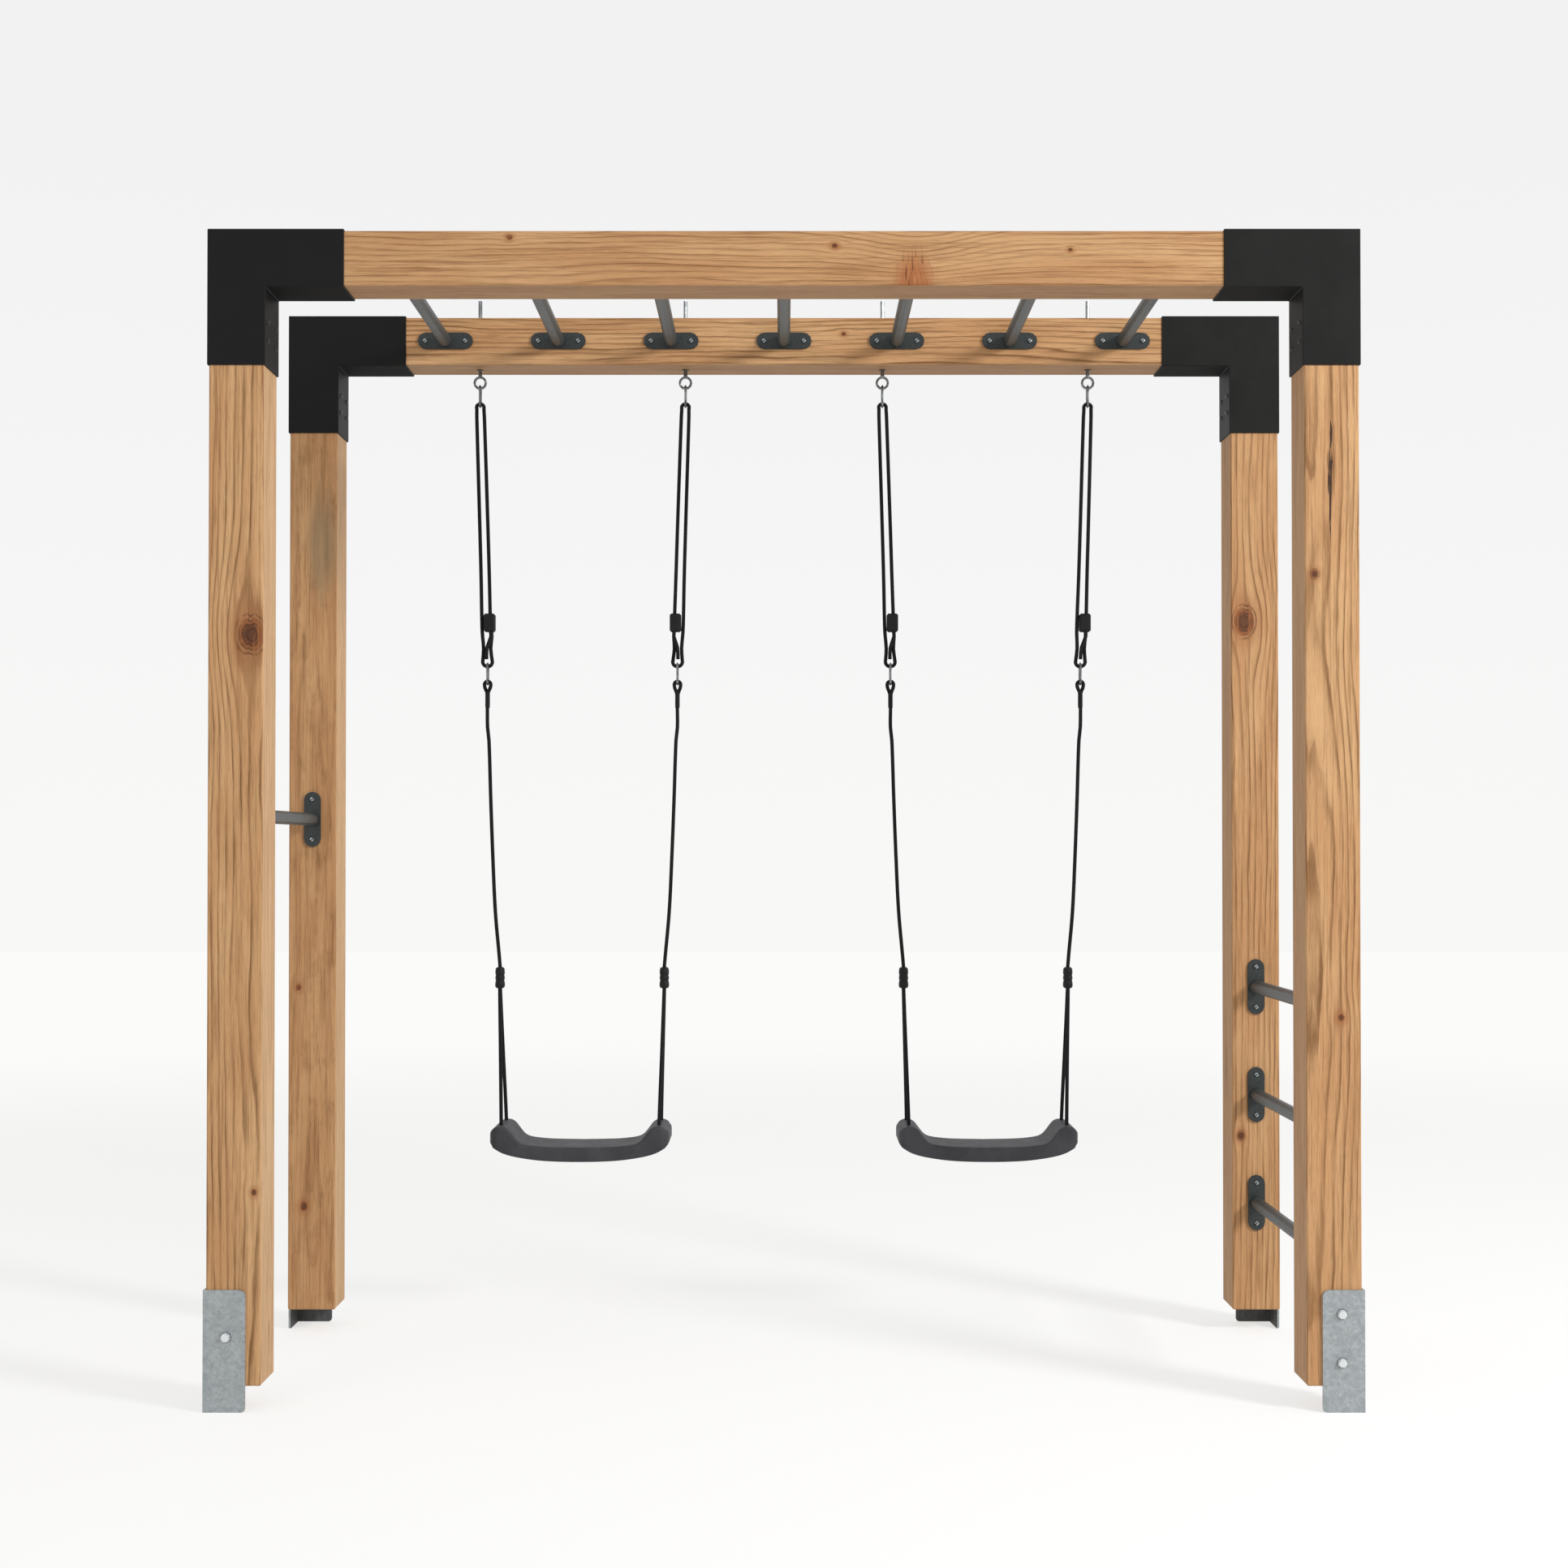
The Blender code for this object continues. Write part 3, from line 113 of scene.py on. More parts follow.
# Camera, as found from the two portals in the photograph
PHOTO_SIDE = 1932
CAMERA_AT = (0.0, -5.093, 1.226)
FOCAL_PIXELS = 2630
SENSOR = 36.0
PITCH_UP = 0.0123
HORIZON_BELOW_CENTRE = 78.1
CENTRE_RIGHT = -0.1


def add_object(name, data):
    item = bpy.data.objects.new(name, data)
    bpy.context.scene.collection.objects.link(item)
    return item


def add_camera():
    data = bpy.data.cameras.new("camera")
    data.sensor_width = SENSOR
    data.lens = FOCAL_PIXELS / PHOTO_SIDE * SENSOR
    data.shift_y = (HORIZON_BELOW_CENTRE - FOCAL_PIXELS * math.tan(PITCH_UP)) / PHOTO_SIDE
    data.shift_x = -CENTRE_RIGHT / PHOTO_SIDE
    item = add_object("camera", data)
    item.location = CAMERA_AT
    item.rotation_euler = (math.radians(90) + PITCH_UP, 0, 0)
    bpy.context.scene.camera = item


# Routes of the ropes, through the same points as the CAD model
def smooth_route(route, step=0.012, bend_step=0.0025):
    """Points of a smooth curve through the route, closer together where it bends."""
    spots = [Vector(p) for p in route]
    spots = [spots[0] * 2 - spots[1]] + spots + [spots[-1] * 2 - spots[-2]]
    out = []
    for k in range(1, len(spots) - 2):
        before, here, there, after = spots[k - 1 : k + 3]
        stretch = (there - here).length
        tangent_in = (there - before) * stretch / (stretch + (here - before).length)
        tangent_out = (after - here) * stretch / (stretch + (after - there).length)
        count = max(2, int(stretch / (step if stretch > 2 * step else bend_step)))
        for j in range(count):
            t = j / count
            out.append(
                here * (2 * t**3 - 3 * t**2 + 1)
                + tangent_in * (t**3 - 2 * t**2 + t)
                + there * (3 * t**2 - 2 * t**3)
                + tangent_out * (t**3 - t**2)
            )
    out.append(spots[-2])
    return out


def line_x(side, swing_x, z):
    """Where a swing's rope line runs at a height: it draws in from the eye to the low hook."""
    share = (z - ADJUST_LOW) / (ADJUST_APEX - ADJUST_LOW)
    return swing_x + side * (LOW_HOOK_SPREAD + (EYE_SPREAD - LOW_HOOK_SPREAD) * share)


TAIL_POINTS = [(0.0012, 0.0, -0.0095), (-0.0010, 0.030, -0.0080)]
RISING_POINTS = [(-0.0110, 0.020, -0.0046), (-0.0109, 0.100, -0.0008), (-0.0108, 0.224, 0.0)]
FALLING_POINTS = [(0.0100, 0.224, 0.0), (0.0104, 0.090, 0.0)]
TOP_BEND = (200, 165, 127, 90, 53, 15, -20)
LOW_BEND = (18, -9, -36, -63, -90, -117, -144, -171, -198)
LOW_NECK = 0.0092
LOW_NECK_RISE = 0.046


def adjust_route(side, swing_x, out):
    """The doubled rope: bare tail, block, top hook, past the block, low hook, and back into the block."""

    def at(across, z, deep=0.0):
        return (line_x(side, swing_x, z) + out * across, PORTAL_Y + deep, z)

    def points(level, rows):
        return [at(across, level + rise, deep) for across, rise, deep in rows]

    def bend(angles, radius, middle):
        around = [math.radians(angle) for angle in angles]
        return [at(radius * math.cos(a), middle + radius * math.sin(a)) for a in around]

    top = BLOCK_MIDDLE + BLOCK_HEIGHT / 2
    low = BLOCK_MIDDLE - BLOCK_HEIGHT / 2
    past = -BLOCK_SHIFT + BLOCK_WIDTH / 2 + ROPE_RADIUS + BLOCK_STAND_OFF
    through, back, deep = BLOCK_BORE_SHIFT - BLOCK_SHIFT, -BLOCK_SHIFT - BLOCK_BACK_SHIFT, BLOCK_BORE_DEEP
    route = points(TAIL_END, TAIL_POINTS)
    route += [at(through, low - BLOCK_LEAD, -deep), at(through, low, -deep), at(through, top, -deep)]
    route += points(top, RISING_POINTS) + [at(-ROPE_TURN, ADJUST_APEX - ROPE_TURN_STRAIGHT)]
    route += bend(TOP_BEND, ROPE_TURN, ADJUST_APEX - ROPE_TURN)
    route += [at(ROPE_TURN, ADJUST_APEX - ROPE_TURN_STRAIGHT)] + points(top, FALLING_POINTS)
    route += [at(past, top), at(past, low), at(LOW_NECK, ADJUST_LOW + LOW_NECK_RISE)]
    route += bend(LOW_BEND, LOW_TURN, ADJUST_LOW + LOW_TURN)
    route += [at(-LOW_NECK, ADJUST_LOW + LOW_NECK_RISE), at(back, low - BLOCK_LEAD, deep)]
    route += [at(back, low, deep), at(back, low + BLOCK_END_HELD, deep)]
    return route


SPLICE_START = [
    (0.0002, -0.0480, 0.0050), (0.0004, -0.0320, 0.0050), (0.0024, -0.0200, 0.0047), (0.0070, -0.0085, 0.0022),
]
SPLICE_END = [
    (-0.0070, -0.0085, -0.0022), (-0.0024, -0.0200, -0.0047), (-0.0004, -0.0320, -0.0050),
    (-0.0002, -0.0480, -0.0050), (0.0, -0.0640, -0.0042), (0.0, -0.1100, 0.0),
]
HANGING_POINTS = [(0.0030, 1.500), (0.0047, 1.350), (0.0056, 1.200), (0.0050, 1.060)]


def hang_route(side, swing_x):
    """The hang rope: eye on the low hook, splitter, front hole, under the seat, rear hole, splitter."""

    def at(out, z, deep=0.0):
        return (swing_x + side * out, PORTAL_Y + deep, z)

    eye = LOW_HOOK_SPREAD
    ring = HANG_APEX - SPLICE_TURN
    route = [at(eye + across, ring + rise, deep) for across, rise, deep in SPLICE_START]
    for degrees in range(0, 181, 30):
        turn = math.radians(degrees)
        route.append(at(eye + SPLICE_TURN * math.cos(turn), ring + SPLICE_TURN * math.sin(turn)))
    route += [at(eye + across, ring + rise, deep) for across, rise, deep in SPLICE_END]
    for across, z in HANGING_POINTS:
        share = (z - SPLITTER_MIDDLE) / (HANG_APEX - SPLITTER_MIDDLE)
        route.append(at(SPLITTER_SPREAD + (eye - SPLITTER_SPREAD) * share + across, z))
    top = SPLITTER_MIDDLE + SPLITTER_HEIGHT / 2
    low = SPLITTER_MIDDLE - SPLITTER_HEIGHT / 2
    hole, rear = SEAT_HOLE_SPREAD, SEAT_HOLE_REAR
    entry = SEAT_BOTTOM + SEAT_ENTRY_RISE
    bend = SEAT_ROPE_BEND
    centre = SEAT_ROPE_LOW + bend
    route += [at(SPLITTER_SPREAD, top), at(SPLITTER_SPREAD, SPLITTER_MIDDLE, -STRAND_HALF_PITCH / 2)]

    def strand(way):
        """One strand from the splitter down to its hole: -1 in front, 1 behind."""
        return [
            at(SPLITTER_SPREAD, low, way * STRAND_HALF_PITCH),
            at((SPLITTER_SPREAD + hole) / 2, (low + entry) / 2, way * rear * STRAND_SPLAY),
            at(hole, entry, way * rear),
            at(hole, centre + bend, way * rear),
        ]

    route += strand(-1)
    for start, middle in ((180, bend - rear), (270, rear - bend)):
        for degrees in range(start, start + 91, 30):
            turn = math.radians(degrees)
            route.append(at(hole, centre + bend * math.sin(turn), middle + bend * math.cos(turn)))
    route += reversed(strand(1))
    route.append(at(SPLITTER_SPREAD, low + STRAND_END_HELD, STRAND_HALF_PITCH))
    return route


ROPE_SIDES = 14
TURNED_SIDES = 32

# The splitter's profile from its top, as radius in metres and height as a share of half its length
SPLITTER_PROFILE = [
    (0.0050, 1.00), (0.0076, 0.99), (0.0108, 0.90), (0.0117, 0.76), (0.0121, 0.52), (0.0121, 0.40),
    (0.0113, 0.30), (0.0112, 0.16), (0.0120, 0.06), (0.0121, -0.10), (0.0112, -0.18), (0.0112, -0.34),
    (0.0121, -0.46), (0.0125, -0.66), (0.0124, -0.80), (0.0108, -0.94), (0.0088, -0.99), (0.0060, -1.00),
]
SPLITTER_OVAL = 1.30

# The whipped sleeve: its ends from the eye's middle, half its width and depth, and its thread
WHIPPING_SPAN = (-0.0225, -0.0600)
WHIPPING_HALF = (0.0062, 0.0112)
WHIPPING_THREAD = 0.0016
WHIPPING_GROOVE = 0.0004
WHIPPING_EASE = 0.0022

SEAT_WIDTH = 0.454
SEAT_DEPTH = 0.170
SEAT_CORNER = 0.024
SEAT_EASE = 0.0065
SEAT_EASE_STEPS = 6
SEAT_STRIPS = 14
# The seat's side view from its middle out along the top, round the end and back along the underside
SEAT_SIDE = [
    (0.0, 0.0370), (0.080, 0.0386), (0.115, 0.0412), (0.140, 0.0452), (0.153, 0.0515), (0.162, 0.0610),
    (0.170, 0.0715), (0.1775, 0.0810), (0.186, 0.0875), (0.196, 0.0900), (0.206, 0.0895), (0.216, 0.0850),
    (0.2235, 0.0775), (0.227, 0.0690), (0.227, 0.0510), (0.2245, 0.0440), (0.2190, 0.0370), (0.2090, 0.0300),
    (0.1930, 0.0215), (0.1720, 0.0150), (0.1450, 0.0095), (0.1000, 0.0036), (0.0500, 0.0007), (0.0, 0.0),
]


def new_piece(name, mesh, body, material):
    item = add_object(name, mesh)
    mesh.materials.append(material)
    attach(item, body)
    return item


def made_mesh(work, name):
    mesh = bpy.data.meshes.new(name)
    work.to_mesh(mesh)
    work.free()
    return mesh


def tube_mesh(name, points, radius):
    """A round tube along the points: U runs round it and V along it, in metres."""
    work = bmesh.new()
    layer = work.loops.layers.uv.new("UVMap")
    side = Vector((0, 1, 0))
    rings, travelled, along = [], [], 0.0
    for k, here in enumerate(points):
        before, after = points[max(k - 1, 0)], points[min(k + 1, len(points) - 1)]
        ahead = (after - before).normalized()
        side = (side - ahead * side.dot(ahead)).normalized()
        across = ahead.cross(side)
        if k:
            along += (here - points[k - 1]).length
        ring = []
        for j in range(ROPE_SIDES):
            turn = 2 * math.pi * j / ROPE_SIDES
            ring.append(work.verts.new(here + radius * (side * math.cos(turn) + across * math.sin(turn))))
        rings.append(ring)
        travelled.append(along)
    for k in range(len(rings) - 1):
        for j in range(ROPE_SIDES):
            nxt = (j + 1) % ROPE_SIDES
            face = work.faces.new((rings[k][j], rings[k][nxt], rings[k + 1][nxt], rings[k + 1][j]))
            face.smooth = True
            corners = ((j, k), (j + 1, k), (j + 1, k + 1), (j, k + 1))
            for loop, (u, v) in zip(face.loops, corners):
                loop[layer].uv = (u / ROPE_SIDES, travelled[v])
    work.faces.new(rings[0][::-1])
    work.faces.new(rings[-1])
    return made_mesh(work, name)


def add_ropes(rope_material, clamp_material, thread_material):
    for name, swing_side, ropes in SWINGS:
        swing_x = swing_side * SWING_CENTRE
        for label, side, out in ropes:
            doubled = smooth_route(adjust_route(side, swing_x, out))[::-1]
            mesh = tube_mesh("doubled_rope", doubled, ROPE_RADIUS)
            piece = new_piece(f"{name}_doubled_rope_{label}", mesh, name + "_upper", rope_material)
            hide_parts(f"{name}_adjust_rope_{label}")
            hanging = smooth_route(hang_route(side, swing_x))
            mesh = tube_mesh("single_rope", hanging, ROPE_RADIUS)
            piece = new_piece(f"{name}_single_rope_{label}", mesh, name + "_lower", rope_material)
            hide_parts(f"{name}_hang_rope_{label}")
            for kind, out_at, middle, rows, slot, material in (
                ("splitter", SPLITTER_SPREAD, SPLITTER_MIDDLE, splitter_rows(), "black_plastic", clamp_material),
                ("whipping", LOW_HOOK_SPREAD, HANG_APEX - SPLICE_TURN, whipping_rows(), "black_rope", thread_material),
            ):
                mesh = turned_mesh(kind, rows, (swing_x + side * out_at, PORTAL_Y, middle))
                new_piece(f"{name}_{kind}_{label}", mesh, name + "_lower", material)


def splitter_rows():
    """Half width, half depth and height of each ring of a splitter."""
    return [(r, r * SPLITTER_OVAL, share * SPLITTER_HEIGHT / 2) for r, share in SPLITTER_PROFILE]


def whipping_rows():
    """The same for the whipped sleeve: each turn of the thread is a ridge, and both ends are drawn in."""
    top, low = WHIPPING_SPAN
    count = round((top - low) / WHIPPING_THREAD)
    rows = [(WHIPPING_HALF[0] - WHIPPING_EASE, WHIPPING_HALF[1] - WHIPPING_EASE, top)]
    for k in range(count):
        for share, groove in ((0.15, WHIPPING_GROOVE), (0.5, 0.0), (0.85, WHIPPING_GROOVE)):
            height = top - (k + share) * WHIPPING_THREAD
            rows.append((WHIPPING_HALF[0] - groove, WHIPPING_HALF[1] - groove, height))
    rows.append((WHIPPING_HALF[0] - WHIPPING_EASE, WHIPPING_HALF[1] - WHIPPING_EASE, low))
    return rows


def turned_mesh(name, rows, middle):
    """A closed oval form about the rope, ring by ring from its top."""
    work = bmesh.new()
    rings = []
    for half_width, half_depth, height in rows:
        ring = []
        for k in range(TURNED_SIDES):
            turn = 2 * math.pi * k / TURNED_SIDES
            spot = Vector((half_width * math.cos(turn), half_depth * math.sin(turn), height))
            ring.append(work.verts.new(spot + Vector(middle)))
        rings.append(ring)
    for upper, lower in zip(rings, rings[1:]):
        for k in range(TURNED_SIDES):
            nxt = (k + 1) % TURNED_SIDES
            work.faces.new((upper[k], lower[k], lower[nxt], upper[nxt])).smooth = True
    work.faces.new(rings[0])
    work.faces.new(rings[-1][::-1])
    bmesh.ops.recalc_face_normals(work, faces=work.faces)
    return made_mesh(work, name)


def seat_loop():
    """The whole side view as a smooth closed line, with the direction inwards at each point."""
    half = SEAT_SIDE + [(-x, z) for x, z in reversed(SEAT_SIDE[1:-1])]
    line = smooth_route([(x, 0.0, z) for x, z in half + half[:1]], step=0.010, bend_step=0.004)[:-1]
    loop = []
    for k, here in enumerate(line):
        ahead = (line[(k + 1) % len(line)] - line[k - 1]).normalized()
        loop.append((here, Vector((ahead.z, 0.0, -ahead.x))))
    return loop


def seat_rows():
    """Stations from front to back, as (y, how far the outline is drawn in there)."""
    edge = SEAT_DEPTH / 2
    rows = []
    for k in range(SEAT_EASE_STEPS + 1):
        turn = math.radians(90 * k / SEAT_EASE_STEPS)
        rows.append((-edge + SEAT_EASE * (1 - math.cos(turn)), SEAT_EASE * (1 - math.sin(turn))))
    flat = edge - SEAT_EASE
    rows += [(-flat + 2 * flat * k / SEAT_STRIPS, 0.0) for k in range(1, SEAT_STRIPS)]
    rows += [(-y, inset) for y, inset in reversed(rows[: SEAT_EASE_STEPS + 1])]
    return rows


def seat_half_width(y):
    """Half the seat's width at a station: its plan corners are round."""
    past = max(0.0, abs(y) - (SEAT_DEPTH / 2 - SEAT_CORNER))
    return SEAT_WIDTH / 2 - SEAT_CORNER + math.sqrt(max(0.0, SEAT_CORNER**2 - past**2))


def seat_mesh(name, middle):
    """The moulded seat with smooth curves, eased edges and round corners."""
    work = bmesh.new()
    loop = seat_loop()
    rings = []
    for y, inset in seat_rows():
        limit = seat_half_width(y)
        ring = []
        for here, inward in loop:
            spot = here + inward * inset
            x = max(-limit, min(limit, spot.x))
            ring.append(work.verts.new(Vector((x, y, spot.z)) + Vector(middle)))
        rings.append(ring)
    for first, second in zip(rings, rings[1:]):
        for k in range(len(loop)):
            nxt = (k + 1) % len(loop)
            work.faces.new((first[k], first[nxt], second[nxt], second[k])).smooth = True
    for ring in (rings[0], rings[-1]):
        work.faces.new(ring)
    bmesh.ops.recalc_face_normals(work, faces=work.faces)
    return made_mesh(work, name)


def add_seats(material):
    for name, swing_side, _ in SWINGS:
        mesh = seat_mesh("moulded_seat", (swing_side * SWING_CENTRE, PORTAL_Y, SEAT_BOTTOM))
        piece = new_piece(name + "_moulded_seat", mesh, name + "_lower", material)
        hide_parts(name + "_seat")


class Graph:
    """Short calls for building the nodes of a new material, or of the world."""

    def __init__(self, name, world=None):
        self.owner = world or bpy.data.materials.new(name)
        self.owner.use_nodes = True
        self.tree = self.owner.node_tree

    def link(self, source, socket):
        if isinstance(source, (int, float)):
            socket.default_value = source
        elif isinstance(source, (tuple, list)):
            size = len(socket.default_value)
            socket.default_value = (tuple(source) + (1.0,))[:size]
        else:
            self.tree.links.new(source, socket)

    def node(self, kind, *values, **settings):
        item = self.tree.nodes.new("ShaderNode" + kind)
        for key, value in settings.items():
            setattr(item, key, value)
        for socket, value in zip(item.inputs, values):
            self.link(value, socket)
        return item

    def math(self, operation, first, second=0.0):
        return self.node("Math", first, second, operation=operation).outputs[0]

    def add(self, first, second):
        return self.math("ADD", first, second)

    def mul(self, first, second):
        return self.math("MULTIPLY", first, second)

    def sub(self, first, second):
        return self.math("SUBTRACT", first, second)

    def hypot(self, first, second):
        return self.math("SQRT", self.add(self.mul(first, first), self.mul(second, second)))

    def coords(self, kind="Object"):
        return self.node("TexCoord").outputs[kind]

    def split(self, vector):
        return self.node("SeparateXYZ", vector).outputs

    def join(self, x, y, z):
        return self.node("CombineXYZ", x, y, z).outputs[0]

    def stretch(self, vector, scales):
        return self.node("Mapping", vector, (0, 0, 0), (0, 0, 0), scales).outputs[0]

    def noise(self, vector, scale, detail=2.0, rough=0.5, distortion=0.0):
        item = self.node("TexNoise")
        names = ("Vector", "Scale", "Detail", "Roughness", "Distortion")
        for name, value in zip(names, (vector, scale, detail, rough, distortion)):
            self.link(value, item.inputs[name])
        return item.outputs[0]

    def grain(self, vector, scales, detail, rough):
        """Noise with a scale of its own along each axis."""
        return self.noise(self.stretch(vector, scales), 1.0, detail, rough)

    def cells(self, vector, scale, feature="F1", output="Distance"):
        item = self.node("TexVoronoi", feature=feature)
        self.link(vector, item.inputs["Vector"])
        self.link(scale, item.inputs["Scale"])
        return item.outputs[output]

    def ramp(self, value, stops):
        """stops are pairs of a position and a grey value or a colour."""
        item = self.node("ValToRGB", value)
        ramp = item.color_ramp
        while len(ramp.elements) < len(stops):
            ramp.elements.new(0.5)
        for spot, (place, colour) in zip(ramp.elements, stops):
            spot.position = place
            spot.color = (colour, colour, colour, 1) if isinstance(colour, (int, float)) else (*colour, 1)
        return item.outputs[0]

    def mix(self, share, first, second):
        item = self.node("Mix", data_type="RGBA")
        self.link(share, item.inputs[0])
        self.link(first, item.inputs[6])
        self.link(second, item.inputs[7])
        return item.outputs[2]

    def lay(self, colour, share, strength, over):
        """The colour with a share of another laid over it."""
        return self.mix(self.mul(share, strength), colour, over)

    def step(self, value, low, high):
        """0 at low and 1 at high, smooth between; low may be the larger of the two."""
        item = self.node("MapRange", value, low, high, 0.0, 1.0, interpolation_type="SMOOTHSTEP")
        return item.outputs[0]

    def bump(self, height, strength, distance):
        item = self.node("Bump")
        for name, value in (("Strength", strength), ("Distance", distance), ("Height", height)):
            self.link(value, item.inputs[name])
        return item.outputs[0]

    def finish(self, colour, rough, normal, metal=0.0, specular=0.5):
        shader = self.tree.nodes["Principled BSDF"]
        names = ("Base Color", "Roughness", "Normal", "Metallic", "Specular IOR Level")
        for name, value in zip(names, (colour, rough, normal, metal, specular)):
            self.link(value, shader.inputs[name])
        return self.owner


def srgb(red, green, blue):
    """A display colour of 0 to 255 as linear values."""
    out = []
    for value in (red, green, blue):
        c = value / 255
        out.append(c / 12.92 if c <= 0.04045 else ((c + 0.055) / 1.055) ** 2.4)
    return tuple(out)


# Colours as display values, chosen by comparing renders with the photograph
WOOD_PALE = srgb(232, 184, 132)
WOOD_BASE = srgb(216, 163, 113)
WOOD_GLINT = srgb(244, 208, 160)
WOOD_LINE = srgb(122, 79, 37)
WOOD_ROSE = srgb(206, 150, 100)
# Painted light and shade for the timbers' sides: the shaded colour for most, the lit one for the left posts, whose
# inner sides face the key lamp
WOOD_SHADED_SIDE = srgb(196, 154, 114)
WOOD_LIT_SIDE = srgb(234, 196, 151)
# Painted shade on the beams' undersides
WOOD_UNDER_SHADE = srgb(110, 80, 56)
WOOD_BROWN = srgb(172, 122, 78)
WOOD_GREY = srgb(148, 132, 102)
KNOT_RED = srgb(166, 100, 56)
KNOT_DARK = srgb(74, 38, 22)
FAN_PALE, FAN_DARK = srgb(196, 124, 72), srgb(152, 80, 40)
# Painted shade inside the drying cracks
CRACK_SHADE = srgb(46, 24, 12)
COAT_DARK, COAT_PALE = srgb(21, 21, 20), srgb(28, 28, 27)
# Painted shade for the left brackets, and dust specks
COAT_LEFT_SHADE, COAT_DUST = srgb(11, 11, 11), srgb(70, 70, 68)
ENAMEL_DARK, ENAMEL_PALE = srgb(68, 73, 73), srgb(92, 97, 97)
# The plates' darker enamel, which also lies as painted shade on the rungs next to them
ENAMEL_CLOUD, ENAMEL_PLATE_AND_SHADE = srgb(62, 67, 65), srgb(40, 45, 44)
ZINC_DARK, ZINC_PALE = srgb(158, 164, 166), srgb(180, 186, 188)
ZINC_CLOUD, ZINC_LINE = srgb(150, 156, 159), srgb(216, 220, 221)
# Painted shade on the foot angles' inner faces
SHADED_ZINC_DARK, SHADED_ZINC_PALE = srgb(52, 56, 58), srgb(122, 127, 129)
BRIGHT_DARK, BRIGHT_PALE = srgb(98, 100, 101), srgb(142, 145, 146)
# A head's middle and rim, half of its slot in radii of the head, and how metallic it is; the rim is painted shade
# round rung screws and foot bolts, and a painted light edge on bracket screws
HEAD_LOOKS = {
    "rung_screw": (srgb(168, 174, 176), srgb(66, 70, 70), 0.22, 0.85),
    "bracket_screw": (srgb(10, 10, 10), srgb(84, 84, 82), 0.20, 0.2),
    "foot_bolt": (srgb(226, 230, 231), srgb(60, 62, 64), 0.0, 0.85),
}
# Painted shade inside the screw slots
SLOT_SHADE = srgb(24, 24, 24)
# The seat's dark and pale plastic, and a painted highlight for its edges
SEAT_DARK, SEAT_PALE, SEAT_EDGE_HIGHLIGHT = srgb(60, 60, 64), srgb(72, 72, 76), srgb(112, 112, 117)
PLASTIC_DARK, PLASTIC_PALE = srgb(14, 14, 15), srgb(30, 30, 31)
THREAD_DARK, THREAD_PALE = srgb(9, 9, 10), srgb(34, 34, 35)
# The braid's black, a painted highlight for the strands' crowns, and fuzz
BRAID_DARK, BRAID_HIGHLIGHT, BRAID_FUZZ = srgb(6, 6, 7), srgb(30, 30, 32), srgb(66, 66, 68)

FLOOR_SIZE = 40.0
FLOOR_FADE = (3.5, 9.0)
FLOOR_SHADE = srgb(251, 251, 250)
FLOOR_PAPER = (0.93, 0.93, 0.925)
# What the floor shows by itself where it takes its full share of the light
FLOOR_GLOW = (0.326, 0.326, 0.323)
# How much of a shadow the floor keeps near the object
SHADOW_SHARE = 0.48
BACKDROP_LOW = srgb(248, 248, 247)
BACKDROP_HIGH = srgb(242, 242, 243)
BACKDROP_RISE = 0.30
WHITE = (1.0, 1.0, 1.0)
SKY_LIGHT = 0.46
LAMP_AIM = Vector((0, 0, 1.2))
# Name, place, diameter and power in watts
LAMPS = [("key", (5.8, -4.2, 4.6), 1.8, 300), ("fill", (-4.0, -5.0, 3.2), 3.0, 25)]

# Noises of the wood: scales across, deep and along the grain, detail and roughness
SWAY = (5, 5, 1.1), 1.5, 0.5
DRIFT = (26, 26, 3.2), 2.0, 0.5
WAVER = (90, 90, 14), 2.0, 0.5
FIBRE = (900, 900, 22), 3.0, 0.6
STREAK = (210, 210, 5), 3.0, 0.6
STAIN = (14, 14, 2.2), 2.0, 0.55
CLOUDS = (30, 30, 13), 3.0, 0.6
GRAZED = (120, 120, 7), 3.0, 0.65
# How strongly each colour is laid over the wood
ROSE_LAID = 0.45
# How strongly the painted side light and shade is laid
SIDE_LIGHTING_LAID = 0.55
SIDE_LINES_FADED = 0.55
LINE_LAID = 0.92
STREAK_LAID = 0.52
FIBRE_LAID = 0.46
GLINT_LAID = 0.50
GREY_LAID = 0.55
CRACK_LAID = 0.95

RING_PITCH = 0.0125
# How far sway, drift and waver move a ring, in metres
RING_SHIFTS = (0.060, 0.012, 0.0022)
# The share of late wood through one ring
LATE_WOOD = [(0.0, 0.45), (0.07, 0.08), (0.30, 0.0), (0.62, 0.14), (0.78, 0.52), (0.88, 1.0), (1.0, 0.8)]
# Dark rings in a knot's heart, in half sizes of the knot, and the half width under which a knot has none
KNOT_RINGS = (1.16, 0.88, 0.62, 0.36)
SMALL_KNOT = 0.009
# How much wider than a knot the band is in which the lines bend round it
SWEEP_WIDER = 1.55
# From the middle of a timber to where its face ends and its side begins
FACE_END = 0.0592
SIDE_START = 0.0599
# The depth in which a knot or crack in one face fades out towards the other
FACE_FADE = 0.012
CRACK_HALF_WIDTH = 0.0044
# How long a crack narrows at its low and high ends
CRACK_ENDS = (0.09, 0.03)

SLOT_TURN = math.radians(38)
# How far painted shade darkens a rung before its plate
PLATE_SHADE = 0.012
BRAID_TURNS = 6
BRAID_PITCH = 0.024


class Knot:
    """A knot in the face of a timber: where it lies across and along, its half sizes, and which face.

    Lines sweep round it where sweep is above 0, and are drawn in to it where it is below."""

    def __init__(self, across, along, half_width, half_length, sweep=0.9, reach=2.6, face=-1, heart=True):
        self.across, self.along, self.face, self.heart = across, along, face, heart
        self.half_width, self.half_length = half_width, half_length
        self.sweep, self.reach = sweep, reach


